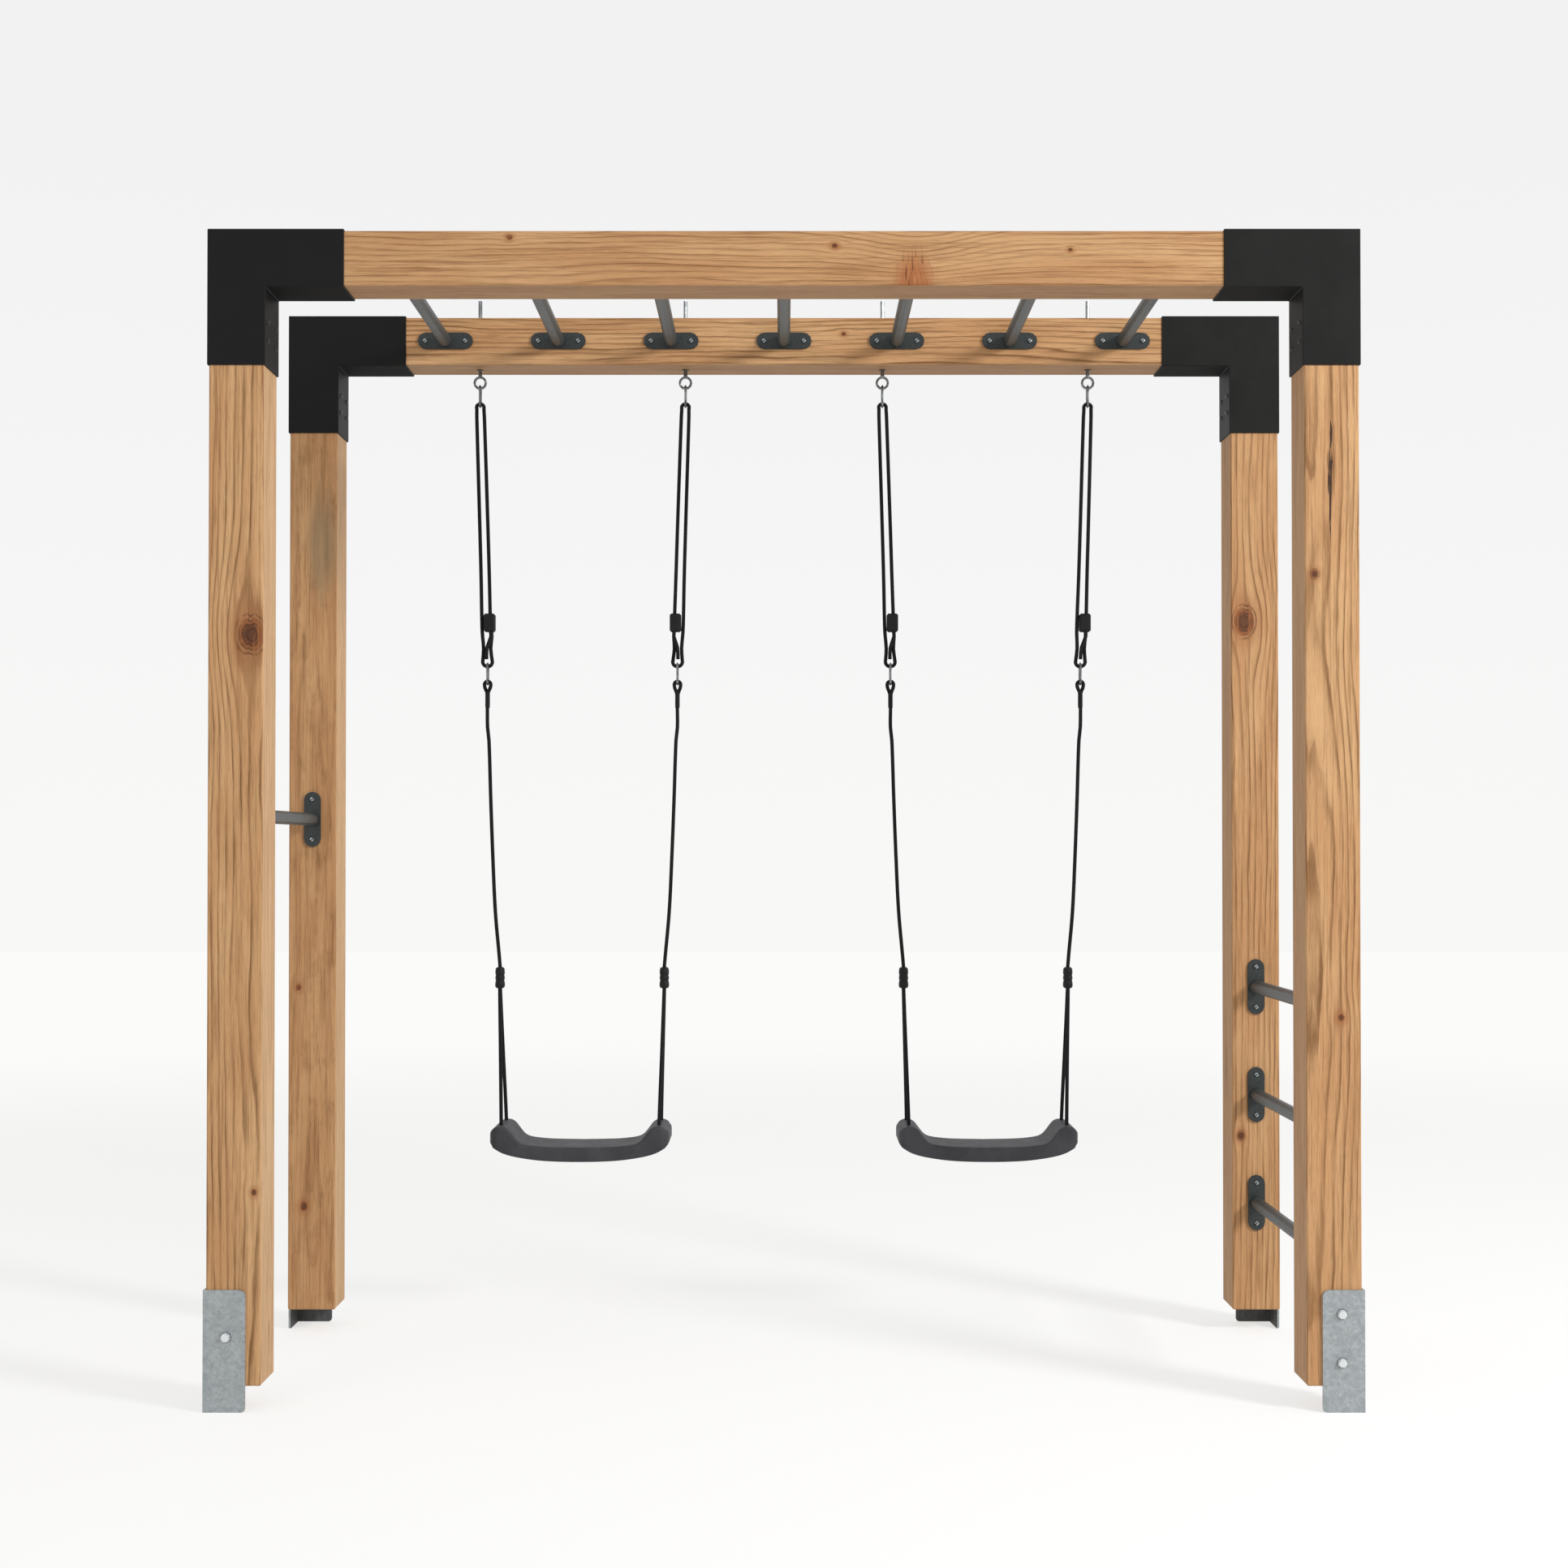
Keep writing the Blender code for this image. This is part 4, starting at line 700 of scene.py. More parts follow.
class Timber:
    """One squared timber: its material's coordinates run across, deep and along the grain."""

    knots, fans, cracks, patches = (), (), (), ()
    # under: how strongly painted shade darkens the underside
    tone, line, blotch, under = 0.0, 1.0, 0.0, 0.0
    # side: the colour painted on the timber's sides as shade, and as light on the left posts
    side, pitch = WOOD_SHADED_SIDE, RING_PITCH

    def __init__(self, node, middle, pith, seed, **own):
        self.node, self.middle, self.pith, self.seed = node, middle, pith, seed
        self.along = "x" if node.startswith("beam") else "z"
        vars(self).update(own)


def oval_distance(g, across, along, spot, wider=1.0, longer=1.0):
    """How far a point lies from a knot's middle, in half sizes of the knot."""
    out = g.mul(g.sub(across, spot.across), 1 / (spot.half_width * wider))
    up = g.mul(g.sub(along, spot.along), 1 / (spot.half_length * longer))
    return g.hypot(out, up)


def on_face(g, deep, face):
    """1 in the half of the timber towards a face: -1 is the front one."""
    return g.step(g.mul(deep, face), 0.0, FACE_FADE)


def growth_lines(g, timber, across, deep, along, noises):
    """The share of dark late wood, from rings about the pith that sweep round the knots."""
    bent = across
    for knot in timber.knots:
        distance = oval_distance(g, across, along, knot, SWEEP_WIDER, knot.reach)
        near = g.math("EXPONENT", g.mul(g.mul(distance, distance), -0.5))
        near = g.mul(g.mul(near, on_face(g, deep, knot.face)), knot.sweep)
        bent = g.sub(bent, g.mul(near, g.sub(across, knot.across)))
    ring = g.hypot(g.sub(bent, timber.pith[0]), g.sub(deep, timber.pith[1]))
    for noise, shift in zip(noises, RING_SHIFTS):
        ring = g.add(ring, g.mul(g.sub(noise, 0.5), shift))
    turns = g.mul(ring, 1 / timber.pitch)
    late = g.ramp(g.math("FRACT", turns), LATE_WOOD)
    which = g.math("FLOOR", turns)
    uneven = g.noise(g.join(g.mul(which, 0.73), timber.seed, g.mul(along, 1.6)), 3.0, 1.0)
    return g.mul(late, g.step(uneven, 0.18, 0.72))


def knot_heart(g, colour, knot, across, along, deep, noises, face_only):
    """Red-brown rings with a dark heart and rim, on the knot's own face only."""
    drift, waver = noises
    ragged = g.add(g.mul(g.sub(drift, 0.5), 0.9), g.mul(g.sub(waver, 0.5), 0.55))
    broken = g.step(g.add(drift, waver), 0.72, 1.02)
    distance = g.add(oval_distance(g, across, along, knot), ragged)
    shown = g.mul(on_face(g, deep, knot.face), face_only)
    colour = g.lay(colour, g.mul(g.step(distance, 2.6, 0.9), shown), 0.42, KNOT_RED)
    red = KNOT_RED
    if knot.half_width > SMALL_KNOT:
        for ring_at in KNOT_RINGS:
            ring = g.mul(g.step(distance, ring_at - 0.12, ring_at), g.step(distance, ring_at + 0.14, ring_at + 0.02))
            ring = g.mul(ring, broken)
            colour = g.lay(colour, g.mul(ring, shown), 0.62, KNOT_DARK)
            red = g.lay(red, ring, 0.85, KNOT_DARK)
    heart = g.mul(g.step(distance, 0.90, 0.40), g.step(waver, 0.26, 0.46))
    red = g.lay(red, heart, 0.92, KNOT_DARK)
    return g.lay(colour, g.step(distance, 1.05, 0.75), g.mul(shown, 0.88), red)


def fan_knot(g, colour, fan, across, along, deep, face_only):
    """A knot cut lengthwise at the timber's lower edge: reddish, with upright cracks darkened by painted shade."""
    distance = oval_distance(g, across, along, fan)
    shown = g.mul(on_face(g, deep, fan.face), face_only)
    rise = g.add(across, TIMBER / 2)
    spread = g.mul(g.sub(along, fan.along), g.add(1.0, g.mul(rise, 5.0)))
    grain = g.noise(g.join(g.mul(spread, 190.0), g.mul(rise, 26.0), 0.0), 1.0, 2.0, 0.6)
    cracks = g.noise(g.join(g.mul(spread, 150.0), g.mul(rise, 20.0), 4.0), 1.0, 1.0, 0.5)
    inside = g.mul(g.step(g.add(distance, g.mul(g.sub(grain, 0.5), 0.9)), 1.25, 0.45), shown)
    red = g.mix(g.step(grain, 0.3, 0.7), FAN_PALE, FAN_DARK)
    colour = g.lay(colour, inside, 0.82, red)
    # Painted shade in the knot's cracks
    return g.lay(colour, g.step(cracks, 0.56, 0.66), g.mul(inside, 0.75), KNOT_DARK)


def timber_material(timber):
    """Pale wood with growth lines, fibres, knots and cracks, for the timber's own node, with painted light and shade
    on its sides, painted shade under a beam and painted shade in its cracks.
    """
    g = Graph(timber.node + "_wood")
    axes = g.split(g.coords())
    names = ("X", "Y", "Z") if timber.along == "z" else ("Z", "Y", "X")
    across, deep = (g.sub(axes[name], middle) for name, middle in zip(names, timber.middle))
    along = axes[names[2]]
    place = g.join(across, deep, g.add(along, timber.seed * 7.3))
    sway, drift, waver = (g.grain(place, *noise) for noise in (SWAY, DRIFT, WAVER))
    fibre, streak, stain = (g.grain(place, *noise) for noise in (FIBRE, STREAK, STAIN))
    side = g.step(g.math("ABSOLUTE", across), FACE_END, SIDE_START)
    face_only = g.sub(1.0, side)
    late = growth_lines(g, timber, across, deep, along, (sway, drift, waver))
    late = g.mul(late, g.sub(1.0, g.mul(side, SIDE_LINES_FADED)))

    colour = g.mix(g.step(stain, 0.35, 0.68), WOOD_BASE, WOOD_PALE)
    colour = g.lay(colour, g.step(drift, 0.50, 0.75), ROSE_LAID, WOOD_ROSE)
    # Painted light and shade on the sides, as the lamps fall on them
    colour = g.lay(colour, side, SIDE_LIGHTING_LAID, timber.side)
    # Painted shade on a beam's underside
    if timber.under:
        colour = g.lay(colour, g.step(across, -FACE_END, -SIDE_START), timber.under, WOOD_UNDER_SHADE)
    colour = g.lay(colour, late, LINE_LAID * timber.line, WOOD_LINE)
    colour = g.lay(colour, g.step(streak, 0.46, 0.76), STREAK_LAID, WOOD_LINE)
    colour = g.lay(colour, g.step(fibre, 0.48, 0.74), FIBRE_LAID, WOOD_LINE)
    colour = g.lay(colour, g.step(fibre, 0.44, 0.26), GLINT_LAID, WOOD_GLINT)
    if timber.tone:
        browned = g.mul(g.mul(g.add(0.5, g.mul(streak, 0.7)), timber.tone), face_only)
        colour = g.mix(browned, colour, WOOD_BROWN)
    if timber.blotch:
        clouds, grazed = g.grain(place, *CLOUDS), g.grain(place, *GRAZED)
        dark = g.mul(g.add(g.step(clouds, 0.50, 0.72), g.step(grazed, 0.50, 0.70)), face_only)
        colour = g.lay(colour, dark, timber.blotch, WOOD_LINE)
    for patch in timber.patches:
        worn = g.step(g.add(oval_distance(g, across, along, patch), g.sub(streak, 0.5)), 1.2, 0.4)
        colour = g.lay(colour, g.mul(worn, on_face(g, deep, patch.face)), GREY_LAID, WOOD_GREY)
    for fan in timber.fans:
        colour = fan_knot(g, colour, fan, across, along, deep, face_only)
    for knot in timber.knots:
        if knot.heart:
            colour = knot_heart(g, colour, knot, across, along, deep, (drift, waver), face_only)
    height = g.add(g.mul(late, 0.35), g.mul(fibre, 0.45))
    for crack in timber.cracks:
        opened = crack_share(g, crack, across, along, deep, (drift, waver, streak))
        # Painted shade inside the crack
        colour = g.lay(colour, opened, CRACK_LAID, CRACK_SHADE)
        height = g.sub(height, g.mul(opened, 1.5))
    rough = g.add(0.56, g.mul(fibre, 0.14))
    normal = g.bump(height, 0.35, 0.0006)
    dress(NODES[timber.node], g.finish(colour, rough, normal, specular=0.32))


def crack_share(g, crack, across, along, deep, noises):
    """A drying crack (across, low end, high end, face): jagged, narrow at its ends and broken here and there."""
    drift, waver, streak = noises
    middle_across, low, high, face = crack
    wander = g.add(g.mul(g.sub(drift, 0.5), 0.008), g.mul(g.sub(waver, 0.5), 0.010))
    gap = g.math("ABSOLUTE", g.add(g.sub(across, middle_across), wander))
    span = g.mul(g.step(along, low, low + CRACK_ENDS[0]), g.step(along, high, high - CRACK_ENDS[1]))
    width = g.mul(g.mul(span, CRACK_HALF_WIDTH), g.step(streak, 0.40, 0.50))
    opened = g.step(g.sub(width, gap), -0.0004, 0.0007)
    return g.mul(opened, on_face(g, deep, face))


def dress(item, material, smooth_below=32):
    """Gives a CAD node its material, and smooth faces where they meet at less than an angle in degrees."""
    item.data.materials.clear()
    item.data.materials.append(material)
    item.data.shade_smooth()
    item.data.set_sharp_from_angle(angle=math.radians(smooth_below))


def post_timbers():
    middle = {name: (x * POST_X, y * PORTAL_Y) for name, x, y in CORNERS}
    return [
        Timber(
            "post_front_left", middle["front_left"], (0.085, 0.010), 1.0,
            knots=[Knot(0.0345, 1.690, 0.029, 0.037, sweep=1.0, reach=2.5), Knot(0.044, 0.476, 0.007, 0.008)],
            # Painted light on the sides, which face the key lamp
            side=WOOD_LIT_SIDE,
        ),
        Timber(
            "post_front_right", middle["front_right"], (-0.060, 0.050), 2.0,
            knots=[Knot(-0.0384, 1.8225, 0.0105, 0.0115, reach=5.0), Knot(0.0165, 0.856, 0.009, 0.010)],
            cracks=[(-0.0047, 1.880, 2.166, -1)],
            pitch=0.0105,
        ),
        Timber(
            "post_rear_left", middle["rear_left"], (0.010, 0.055), 3.0,
            knots=[Knot(-0.035, 0.871, 0.008, 0.009), Knot(-0.019, 0.317, 0.009, 0.012)],
            tone=0.28,
            line=0.40,
            blotch=0.30,
            patches=[Knot(0.022, 1.99, 0.040, 0.15)],
            # Painted light on the sides, which face the key lamp
            side=WOOD_LIT_SIDE,
        ),
        Timber(
            "post_rear_right", middle["rear_right"], (-0.100, 0.010), 4.0,
            knots=[Knot(-0.0257, 1.799, 0.027, 0.035, sweep=1.0, reach=2.5), Knot(-0.038, 0.496, 0.010, 0.012)],
            tone=0.18,
        ),
    ]


def beam_timbers():
    beam_z = FRAME_TOP - TIMBER / 2
    return [
        Timber(
            "beam_front", (beam_z, -PORTAL_Y), (-0.110, 0.020), 5.0,
            knots=[
                Knot(-0.072, 0.290, 0.070, 0.040, sweep=-0.55, reach=2.6, heart=False),
                Knot(0.027, 0.111, 0.0062, 0.0068),
                Knot(0.045, -0.600, 0.006, 0.007),
                Knot(0.018, 0.626, 0.005, 0.006),
            ],
            fans=[Knot(-0.062, 0.284, 0.078, 0.046)],
            tone=0.18,
            line=0.85,
            under=0.33,
            pitch=0.0100,
        ),
        Timber(
            "beam_rear", (beam_z, PORTAL_Y), (-0.095, 0.020), 6.0,
            knots=[Knot(0.019, 0.152, 0.006, 0.007)],
            pitch=0.0105,
            under=0.33,
        ),
    ]


def coated_steel():
    """Near-black powder coat on the brackets, with a fine orange peel and painted shade that darkens the left ones."""
    g = Graph("black_powder_coat")
    place = g.coords()
    peel = g.noise(place, 520.0, 3.0, 0.6)
    cloud = g.noise(place, 9.0, 3.0, 0.6)
    dust = g.step(g.noise(place, 1900.0, 2.0, 0.7), 0.62, 0.75)
    colour = g.mix(g.step(cloud, 0.3, 0.7), COAT_DARK, COAT_PALE)
    # Painted shade: the brackets on the left are darker, as the light falls
    left = g.step(g.split(place)["X"], 0.2, -0.2)
    colour = g.lay(colour, left, 0.75, COAT_LEFT_SHADE)
    colour = g.lay(colour, dust, 0.12, COAT_DUST)
    below = g.step(g.split(g.node("NewGeometry").outputs["Normal"])["Z"], -0.7, -0.9)
    rough = g.add(0.46, g.add(g.mul(peel, 0.22), g.mul(below, 0.30)))
    normal = g.bump(peel, 0.25, 0.0003)
    return g.finish(colour, rough, normal, specular=0.18)


def hammered_steel():
    """Grey hammered enamel on the rungs and their plates: the plates darker, with painted shade on each rung next to
    them.
    """
    g = Graph("hammered_grey")
    place = g.coords()
    dimples = g.cells(place, 330.0, "SMOOTH_F1")
    fine = g.noise(place, 900.0, 2.0, 0.6)
    cloud = g.noise(place, 16.0, 3.0, 0.55)
    colour = g.mix(g.step(dimples, 0.15, 0.75), ENAMEL_DARK, ENAMEL_PALE)
    colour = g.lay(colour, g.step(cloud, 0.45, 0.75), 0.35, ENAMEL_CLOUD)
    # The plates darker, and painted shade on the last part of each rung before its plate
    ends = g.step(g.math("ABSOLUTE", g.split(place)["Y"]), PLATE_START - PLATE_SHADE, PLATE_START)
    colour = g.lay(colour, ends, 0.62, ENAMEL_PLATE_AND_SHADE)
    height = g.add(dimples, g.mul(fine, 0.2))
    rough = g.add(0.36, g.mul(fine, 0.16))
    normal = g.bump(height, 0.24, 0.0006)
    return g.finish(colour, rough, normal, metal=0.30, specular=0.35)


def galvanised_steel():
    """Dull blue-grey zinc, crazed with thin bright lines."""
    g = Graph("galvanised")
    place = g.coords()
    spangle = g.split(g.cells(place, 150.0, "F1", "Color"))["X"]
    fine = g.noise(place, 700.0, 3.0, 0.6)
    craze = g.math("ABSOLUTE", g.sub(g.noise(place, 95.0, 1.0, 0.4, 0.6), 0.5))
    broken = g.step(g.noise(place, 60.0, 1.0, 0.5), 0.42, 0.60)
    lines = g.mul(g.step(craze, 0.030, 0.008), broken)
    cloud = g.noise(place, 22.0, 2.0, 0.5)
    colour = g.mix(spangle, ZINC_DARK, ZINC_PALE)
    colour = g.lay(colour, g.step(cloud, 0.4, 0.7), 0.35, ZINC_CLOUD)
    colour = g.lay(colour, lines, 0.36, ZINC_LINE)
    rough = g.add(0.44, g.mul(g.add(spangle, fine), 0.10))
    normal = g.bump(g.add(g.mul(lines, 0.5), fine), 0.16, 0.0003)
    return g.finish(colour, rough, normal, metal=0.35)


def shaded_zinc():
    """The zinc on the inner faces of the foot angles, darkened with painted shade."""
    g = Graph("zinc_painted_shade")
    place = g.coords()
    cloud = g.grain(place, (60, 60, 24), 3.0, 0.6)
    fine = g.noise(place, 700.0, 3.0, 0.6)
    colour = g.mix(cloud, SHADED_ZINC_DARK, SHADED_ZINC_PALE)
    rough = g.add(0.50, g.mul(fine, 0.15))
    normal = g.bump(fine, 0.16, 0.0003)
    return g.finish(colour, rough, normal, metal=0.2, specular=0.25)


def bright_zinc():
    """Bright zinc plate with faint drawing marks."""
    g = Graph("bright_zinc")
    place = g.coords()
    haze = g.noise(place, 260.0, 3.0, 0.6)
    cloud = g.noise(place, 40.0, 2.0, 0.5)
    colour = g.mix(g.step(cloud, 0.3, 0.7), BRIGHT_DARK, BRIGHT_PALE)
    rough = g.add(0.20, g.mul(haze, 0.18))
    return g.finish(colour, rough, g.bump(haze, 0.08, 0.0002), metal=0.9)


def fastener_material(name, middle, rim, slot, metal):
    """A screw or bolt head: domed, its rim a painted shadow ring where it is darker than the middle and a painted
    light edge where it is paler, and slotted where slot is above 0.

    Its UV runs from the head's axis, in radii of the head."""
    g = Graph(name)
    uv = g.split(g.coords("UV"))
    out = g.hypot(uv["X"], uv["Y"])
    scratch = g.noise(g.coords(), 900.0, 3.0, 0.6)
    # The rim: painted shade round a pale head, a painted light edge round a dark one
    colour = g.mix(g.step(g.add(out, g.mul(g.sub(scratch, 0.5), 0.2)), 0.70, 0.98), middle, rim)
    colour = g.lay(colour, g.step(scratch, 0.5, 0.8), 0.3, rim)
    height = g.mul(g.mul(out, out), -1.0)
    if slot:
        turned = g.math("ABSOLUTE", g.add(g.mul(uv["X"], math.sin(SLOT_TURN)), g.mul(uv["Y"], math.cos(SLOT_TURN))))
        groove = g.mul(g.step(turned, slot, slot * 0.6), g.step(out, 0.92, 0.84))
        # Painted shade in the slot
        colour = g.lay(colour, groove, 0.92, SLOT_SHADE)
        height = g.sub(height, groove)
    rough = g.add(0.26, g.mul(scratch, 0.2))
    normal = g.bump(g.add(height, g.mul(scratch, 0.04)), 0.8, 0.0016)
    return g.finish(colour, rough, normal, metal=metal)


def moulded_seat():
    """Charcoal moulded plastic with a fine grain, and a painted highlight that makes its convex edges paler."""
    g = Graph("charcoal_plastic")
    place = g.coords()
    grain = g.cells(place, 900.0, "F1")
    mottle = g.noise(place, 14.0, 4.0, 0.6)
    # Painted highlight on the convex edges
    edge_highlight = g.step(g.node("NewGeometry").outputs["Pointiness"], 0.52, 0.60)
    patchiness = g.grain(place, (50, 12, 50), 4.0, 0.65)
    colour = g.mix(g.step(mottle, 0.35, 0.7), SEAT_DARK, SEAT_PALE)
    colour = g.lay(colour, edge_highlight, g.mul(patchiness, 0.7), SEAT_EDGE_HIGHLIGHT)
    rough = g.add(0.50, g.mul(patchiness, 0.18))
    normal = g.bump(grain, 0.20, 0.0002)
    return g.finish(colour, rough, normal, specular=0.30)


def matt_plastic(name):
    """Black plastic of the adjusters and splitters."""
    g = Graph(name)
    place = g.coords()
    grain = g.noise(place, 1500.0, 2.0, 0.6)
    cloud = g.noise(place, 60.0, 2.0, 0.5)
    colour = g.mix(cloud, PLASTIC_DARK, PLASTIC_PALE)
    rough = g.add(0.42, g.mul(cloud, 0.16))
    normal = g.bump(grain, 0.15, 0.0002)
    return g.finish(colour, rough, normal, specular=0.22)


def waxed_thread():
    """The black thread wound round the rope's end."""
    g = Graph("black_thread")
    place = g.coords()
    fibre = g.grain(place, (700, 700, 2600), 2.0, 0.6)
    colour = g.mix(fibre, THREAD_DARK, THREAD_PALE)
    rough = g.add(0.55, g.mul(fibre, 0.2))
    normal = g.bump(fibre, 0.3, 0.0003)
    return g.finish(colour, rough, normal, specular=0.20)


def braided_rope():
    """Black braid: two sets of strands cross, and each goes over and under the other; painted highlight on the
    strands' crowns and painted shade between them.
    """
    g = Graph("black_braid")
    uv = g.split(g.coords("UV"))
    around = g.mul(uv["X"], BRAID_TURNS)
    ahead = g.mul(uv["Y"], BRAID_TURNS / BRAID_PITCH)
    first = g.add(around, ahead)
    second = g.sub(ahead, around)
    over = g.math("PINGPONG", first, 0.5)
    under = g.math("PINGPONG", second, 0.5)
    weave = g.math("SINE", g.mul(g.add(first, second), math.pi))
    first_round = g.math("SINE", g.mul(over, math.pi))
    second_round = g.math("SINE", g.mul(under, math.pi))
    chosen = g.step(weave, -0.3, 0.3)
    height = g.add(g.mul(chosen, first_round), g.mul(g.sub(1.0, chosen), second_round))
    fuzz = g.noise(g.coords(), 2600.0, 2.0, 0.7)
    tint = g.noise(g.coords(), 30.0, 3.0, 0.6)
    # Painted highlight on the strands' crowns and painted shade between them
    colour = g.lay(BRAID_DARK, height, g.add(0.5, tint), BRAID_HIGHLIGHT)
    colour = g.lay(colour, g.step(fuzz, 0.55, 0.8), 0.20, BRAID_FUZZ)
    rough = g.add(0.62, g.mul(fuzz, 0.2))
    normal = g.bump(g.add(height, g.mul(fuzz, 0.25)), 0.8, 0.0008)
    return g.finish(colour, rough, normal, specular=0.20)


def finish_nodes():
    """Every CAD node that stays in sight gets its material."""
    for timber in post_timbers() + beam_timbers():
        timber_material(timber)
    bright = bright_zinc()
    hammered = hammered_steel()
    by_kind = [
        ("corner_bracket", coated_steel(), 32),
        ("foot_angle", galvanised_steel(), 32),
        ("monkey_bar", hammered, 40),
        ("rung", hammered, 40),
        ("eye_bolt", bright, 64),
        ("_hook_", bright, 64),
        ("_gate_", bright, 50),
        ("_adjuster_", matt_plastic("adjuster_plastic"), 50),
    ]
    for name, item in NODES.items():
        for kind, material, smooth_below in by_kind:
            if kind in name:
                dress(item, material, smooth_below)
    shaded = shaded_zinc()
    for name, sx, sy in CORNERS:
        mark_inside(NODES["foot_angle_" + name], Vector((sx * POST_X, sy * PORTAL_Y, 0)), shaded)
    heads = {kind: fastener_material(kind, *look) for kind, look in HEAD_LOOKS.items()}
    for kind, node, radius, seats in fasteners():
        mark_heads(NODES[node], seats, radius, heads[kind])


def mark_inside(item, middle, material):
    """The upright faces towards the post take their own material, which carries painted shade."""
    mesh = item.data
    mesh.materials.append(material)
    for face in mesh.polygons:
        inward = middle - face.center
        inward.z = 0
        if abs(face.normal.z) < UPRIGHT and face.normal.dot(inward) > 0 and inward.length < TIMBER:
            face.material_index = len(mesh.materials) - 1


def fasteners():
    """Where heads lie, as (kind, node, head radius, [(seat, direction into the timber)])."""
    groups = []
    for name, sx, sy in CORNERS:
        groups.append(("bracket_screw", "corner_bracket_" + name, SCREW_HEAD_RADIUS, bracket_seats(sx, sy)))
        groups.append(("foot_bolt", "foot_angle_" + name, WASHER_RADIUS, foot_seats(sx, sy)))
    for name in NODES:
        if name.startswith("monkey_bar") or "rung" in name:
            groups.append(("rung_screw", name, SCREW_HEAD_RADIUS, rung_seats(name)))
    return groups


def rung_seats(name):
    low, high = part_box(name)
    middle = (low + high) / 2
    along = Vector((1, 0, 0)) if name.startswith("monkey_bar") else Vector((0, 0, 1))
    seats = []
    for sy in (-1, 1):
        inward = Vector((0, sy * (PORTAL_Y - TIMBER / 2 - PLATE_THICK), 0))
        for end in (-1, 1):
            spot = Vector((middle.x, 0, middle.z)) + inward + along * (end * PLATE_HOLE_PITCH / 2)
            seats.append((spot, Vector((0, sy, 0))))
    return seats


def bracket_seats(sx, sy):
    seats = []
    spread = (-BRACKET_SCREW_SPREAD / 2, BRACKET_SCREW_SPREAD / 2)
    for rise in BRACKET_ROWS:
        for shift in spread:
            spot = Vector((sx * (POST_X - SLEEVE / 2), sy * PORTAL_Y + shift, BRACKET_LOW + rise))
            seats.append((spot, Vector((sx, 0, 0))))
    arm_x = sx * (POST_X + SLEEVE / 2 - BRACKET_REACH + BRACKET_ROWS[0])
    for shift in spread:
        seats.append((Vector((arm_x, sy * PORTAL_Y + shift, BRACKET_TOP)), Vector((0, 0, -1))))
    return seats


def foot_seats(sx, sy):
    """Two bolts in one flange and one in the other; at the front right corner they change places."""
    side, end = Vector((sx, 0, 0)), Vector((0, sy, 0))
    two, one = (end, side) if (sx, sy) == (1, -1) else (side, end)
    seats = []
    for outward, heights in ((two, FOOT_BOLT_PAIR), (one, FOOT_BOLT_SINGLE)):
        for z in heights:
            x = sx * (POST_X + (FOOT_OUT if outward.x else FOOT_OUT - FOOT_BOLT_INSET))
            y = sy * (PORTAL_Y + (FOOT_OUT if outward.y else FOOT_OUT - FOOT_BOLT_INSET))
            seats.append((Vector((x, y, z)), -outward))
    return seats


def mark_heads(item, seats, radius, material):
    """The faces of the heads take their own material, with UV from each head's axis in head radii."""
    mesh = item.data
    mesh.materials.append(material)
    own = len(mesh.materials) - 1
    layer = mesh.uv_layers.new(name="UVMap")
    reach = radius * HEAD_MARGIN
    for seat, inward in seats:
        right = Vector((0, 1, 0)) if inward.x else Vector((1, 0, 0))
        up = inward.cross(right)
        for face in mesh.polygons:
            place = face.center - seat
            depth = place.dot(inward)
            if depth > -HEAD_CLEAR or (place - inward * depth).length > reach:
                continue
            face.material_index = own
            for loop in face.loop_indices:
                spot = mesh.vertices[mesh.loops[loop].vertex_index].co - seat
                layer.data[loop].uv = (spot.dot(right) / radius, spot.dot(up) / radius)


def in_picture(g):
    """1 for the rays that reach the picture from here, also by a mirror or through glass."""
    rays = g.node("LightPath").outputs
    mirrored = g.math("MAXIMUM", rays["Is Glossy Ray"], rays["Is Transmission Ray"])
    return g.math("MAXIMUM", rays["Is Camera Ray"], mirrored)


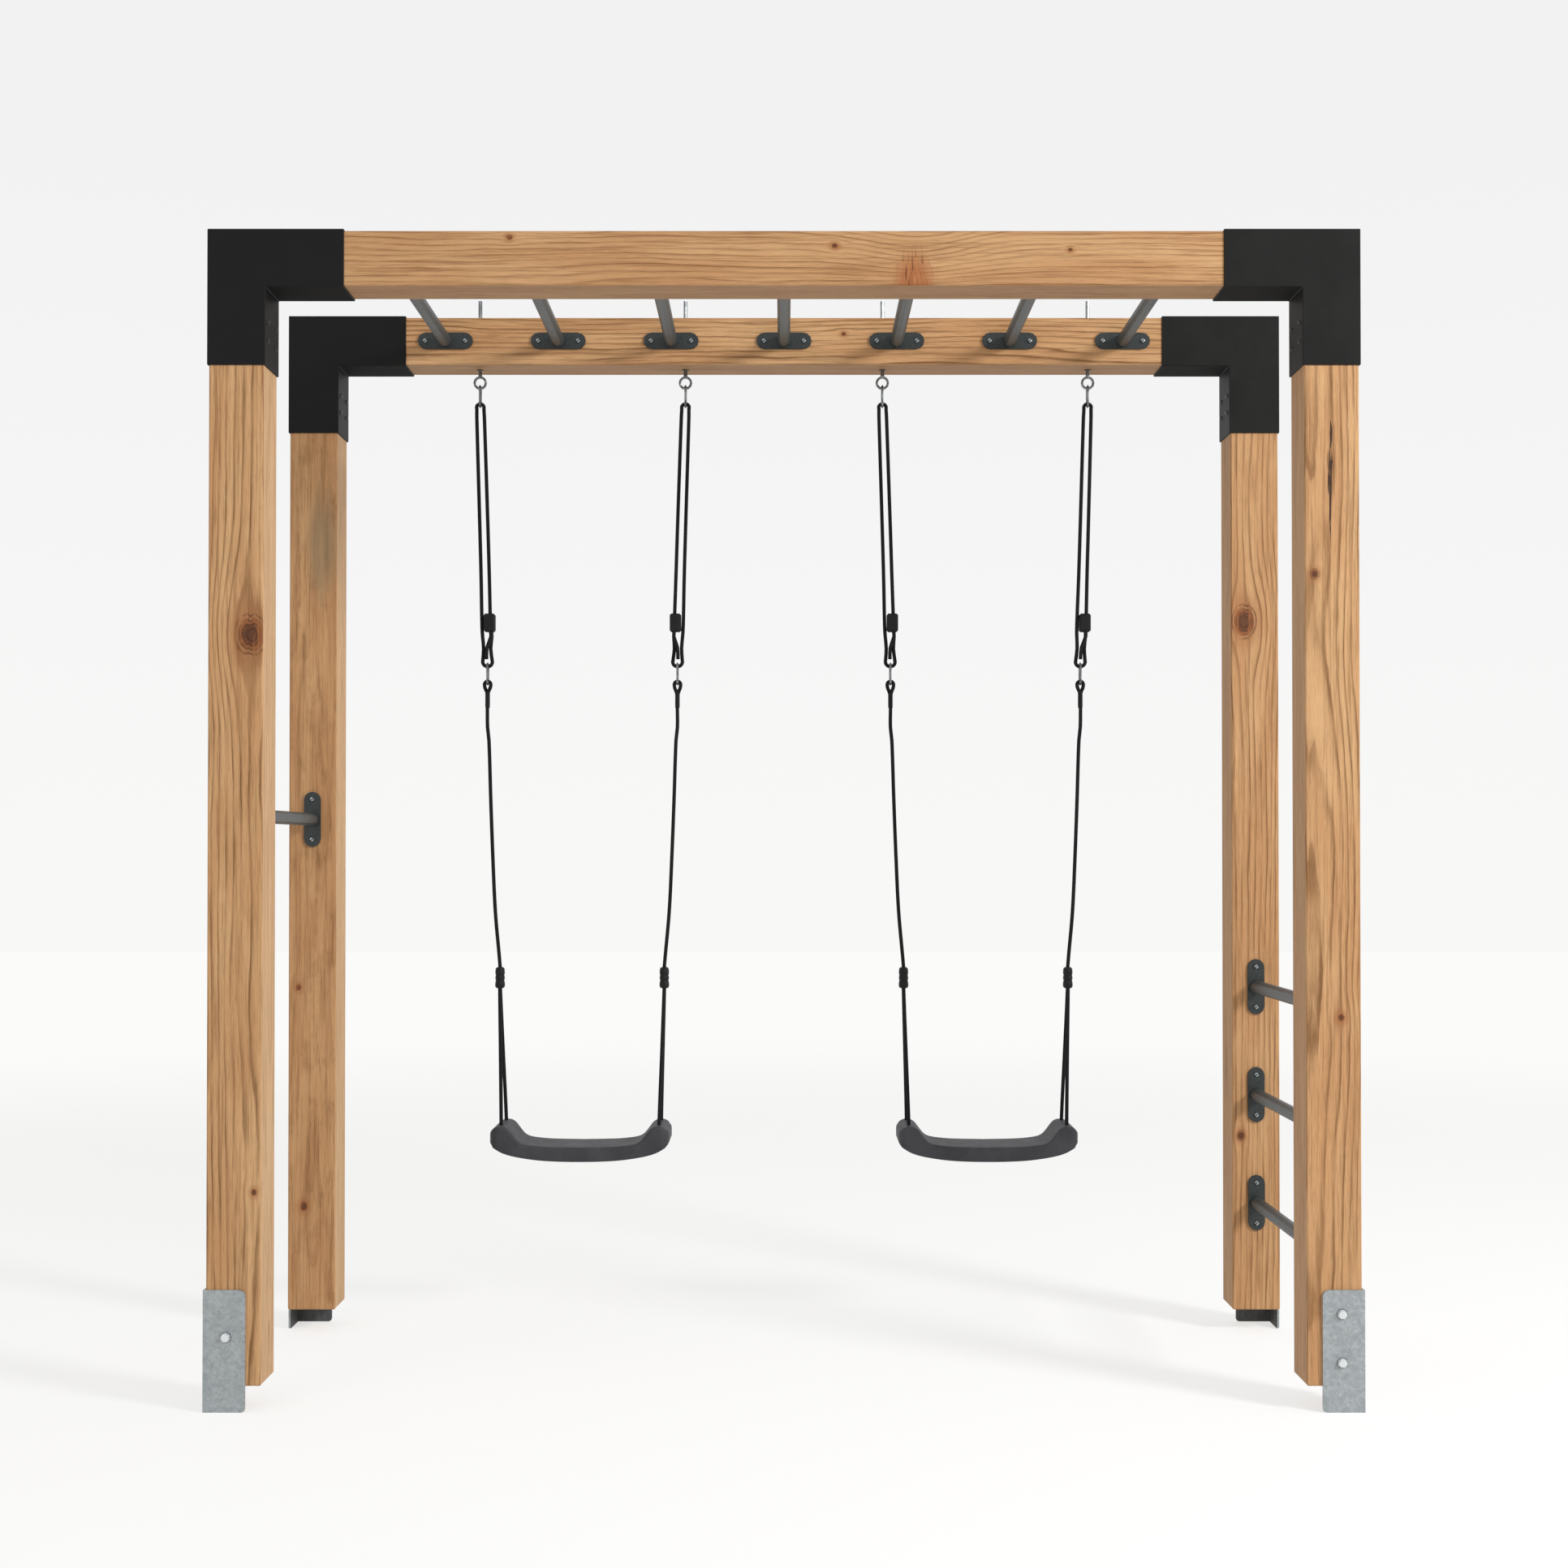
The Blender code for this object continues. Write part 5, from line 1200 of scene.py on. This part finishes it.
def add_floor():
    """A pale floor that keeps the object's shadows and fades into the backdrop further out."""
    work = bmesh.new()
    bmesh.ops.create_grid(work, x_segments=8, y_segments=8, size=FLOOR_SIZE / 2)
    mesh = made_mesh(work, "floor")
    floor = add_object("floor", mesh)
    g = Graph("floor_paper")
    spot = g.split(g.coords())
    away = g.hypot(spot["X"], spot["Y"])
    near = g.mul(g.step(away, FLOOR_FADE[1], FLOOR_FADE[0]), SHADOW_SHARE)
    lit = g.node("BsdfDiffuse", FLOOR_PAPER).outputs[0]
    shaded = g.node("BsdfDiffuse", g.mix(near, (0.0, 0.0, 0.0), FLOOR_PAPER)).outputs[0]
    glow = g.node("Emission", g.mix(near, FLOOR_SHADE, FLOOR_GLOW), 1.0).outputs[0]
    pictured = g.node("AddShader", shaded, glow).outputs[0]
    surface = g.node("MixShader", in_picture(g), lit, pictured).outputs[0]
    g.link(surface, g.tree.nodes["Material Output"].inputs["Surface"])
    mesh.materials.append(g.owner)


def add_sky():
    """White light from all round, and a pale backdrop where the sky itself is in the picture."""
    world = bpy.data.worlds.new("studio")
    bpy.context.scene.world = world
    g = Graph("studio", world)
    light = g.tree.nodes["Background"]
    g.link(WHITE, light.inputs["Color"])
    g.link(SKY_LIGHT, light.inputs["Strength"])
    height = g.split(g.coords("Generated"))["Z"]
    backdrop = g.node("Background", g.ramp(height, [(0.0, BACKDROP_LOW), (BACKDROP_RISE, BACKDROP_HIGH)]))
    surface = g.node("MixShader", in_picture(g), light.outputs[0], backdrop.outputs[0]).outputs[0]
    g.link(surface, g.tree.nodes["World Output"].inputs["Surface"])


def add_lamps():
    for name, place, size, power in LAMPS:
        data = bpy.data.lights.new(name, "AREA")
        data.shape = "DISK"
        data.size = size
        data.energy = power
        item = add_object(name, data)
        item.location = place
        item.rotation_euler = (LAMP_AIM - Vector(place)).to_track_quat("-Z", "Y").to_euler()


def main():
    bpy.context.scene.view_settings.view_transform = "Standard"
    add_camera()
    add_ropes(braided_rope(), matt_plastic("splitter_plastic"), waxed_thread())
    add_seats(moulded_seat())
    finish_nodes()
    add_floor()
    add_sky()
    add_lamps()


main()
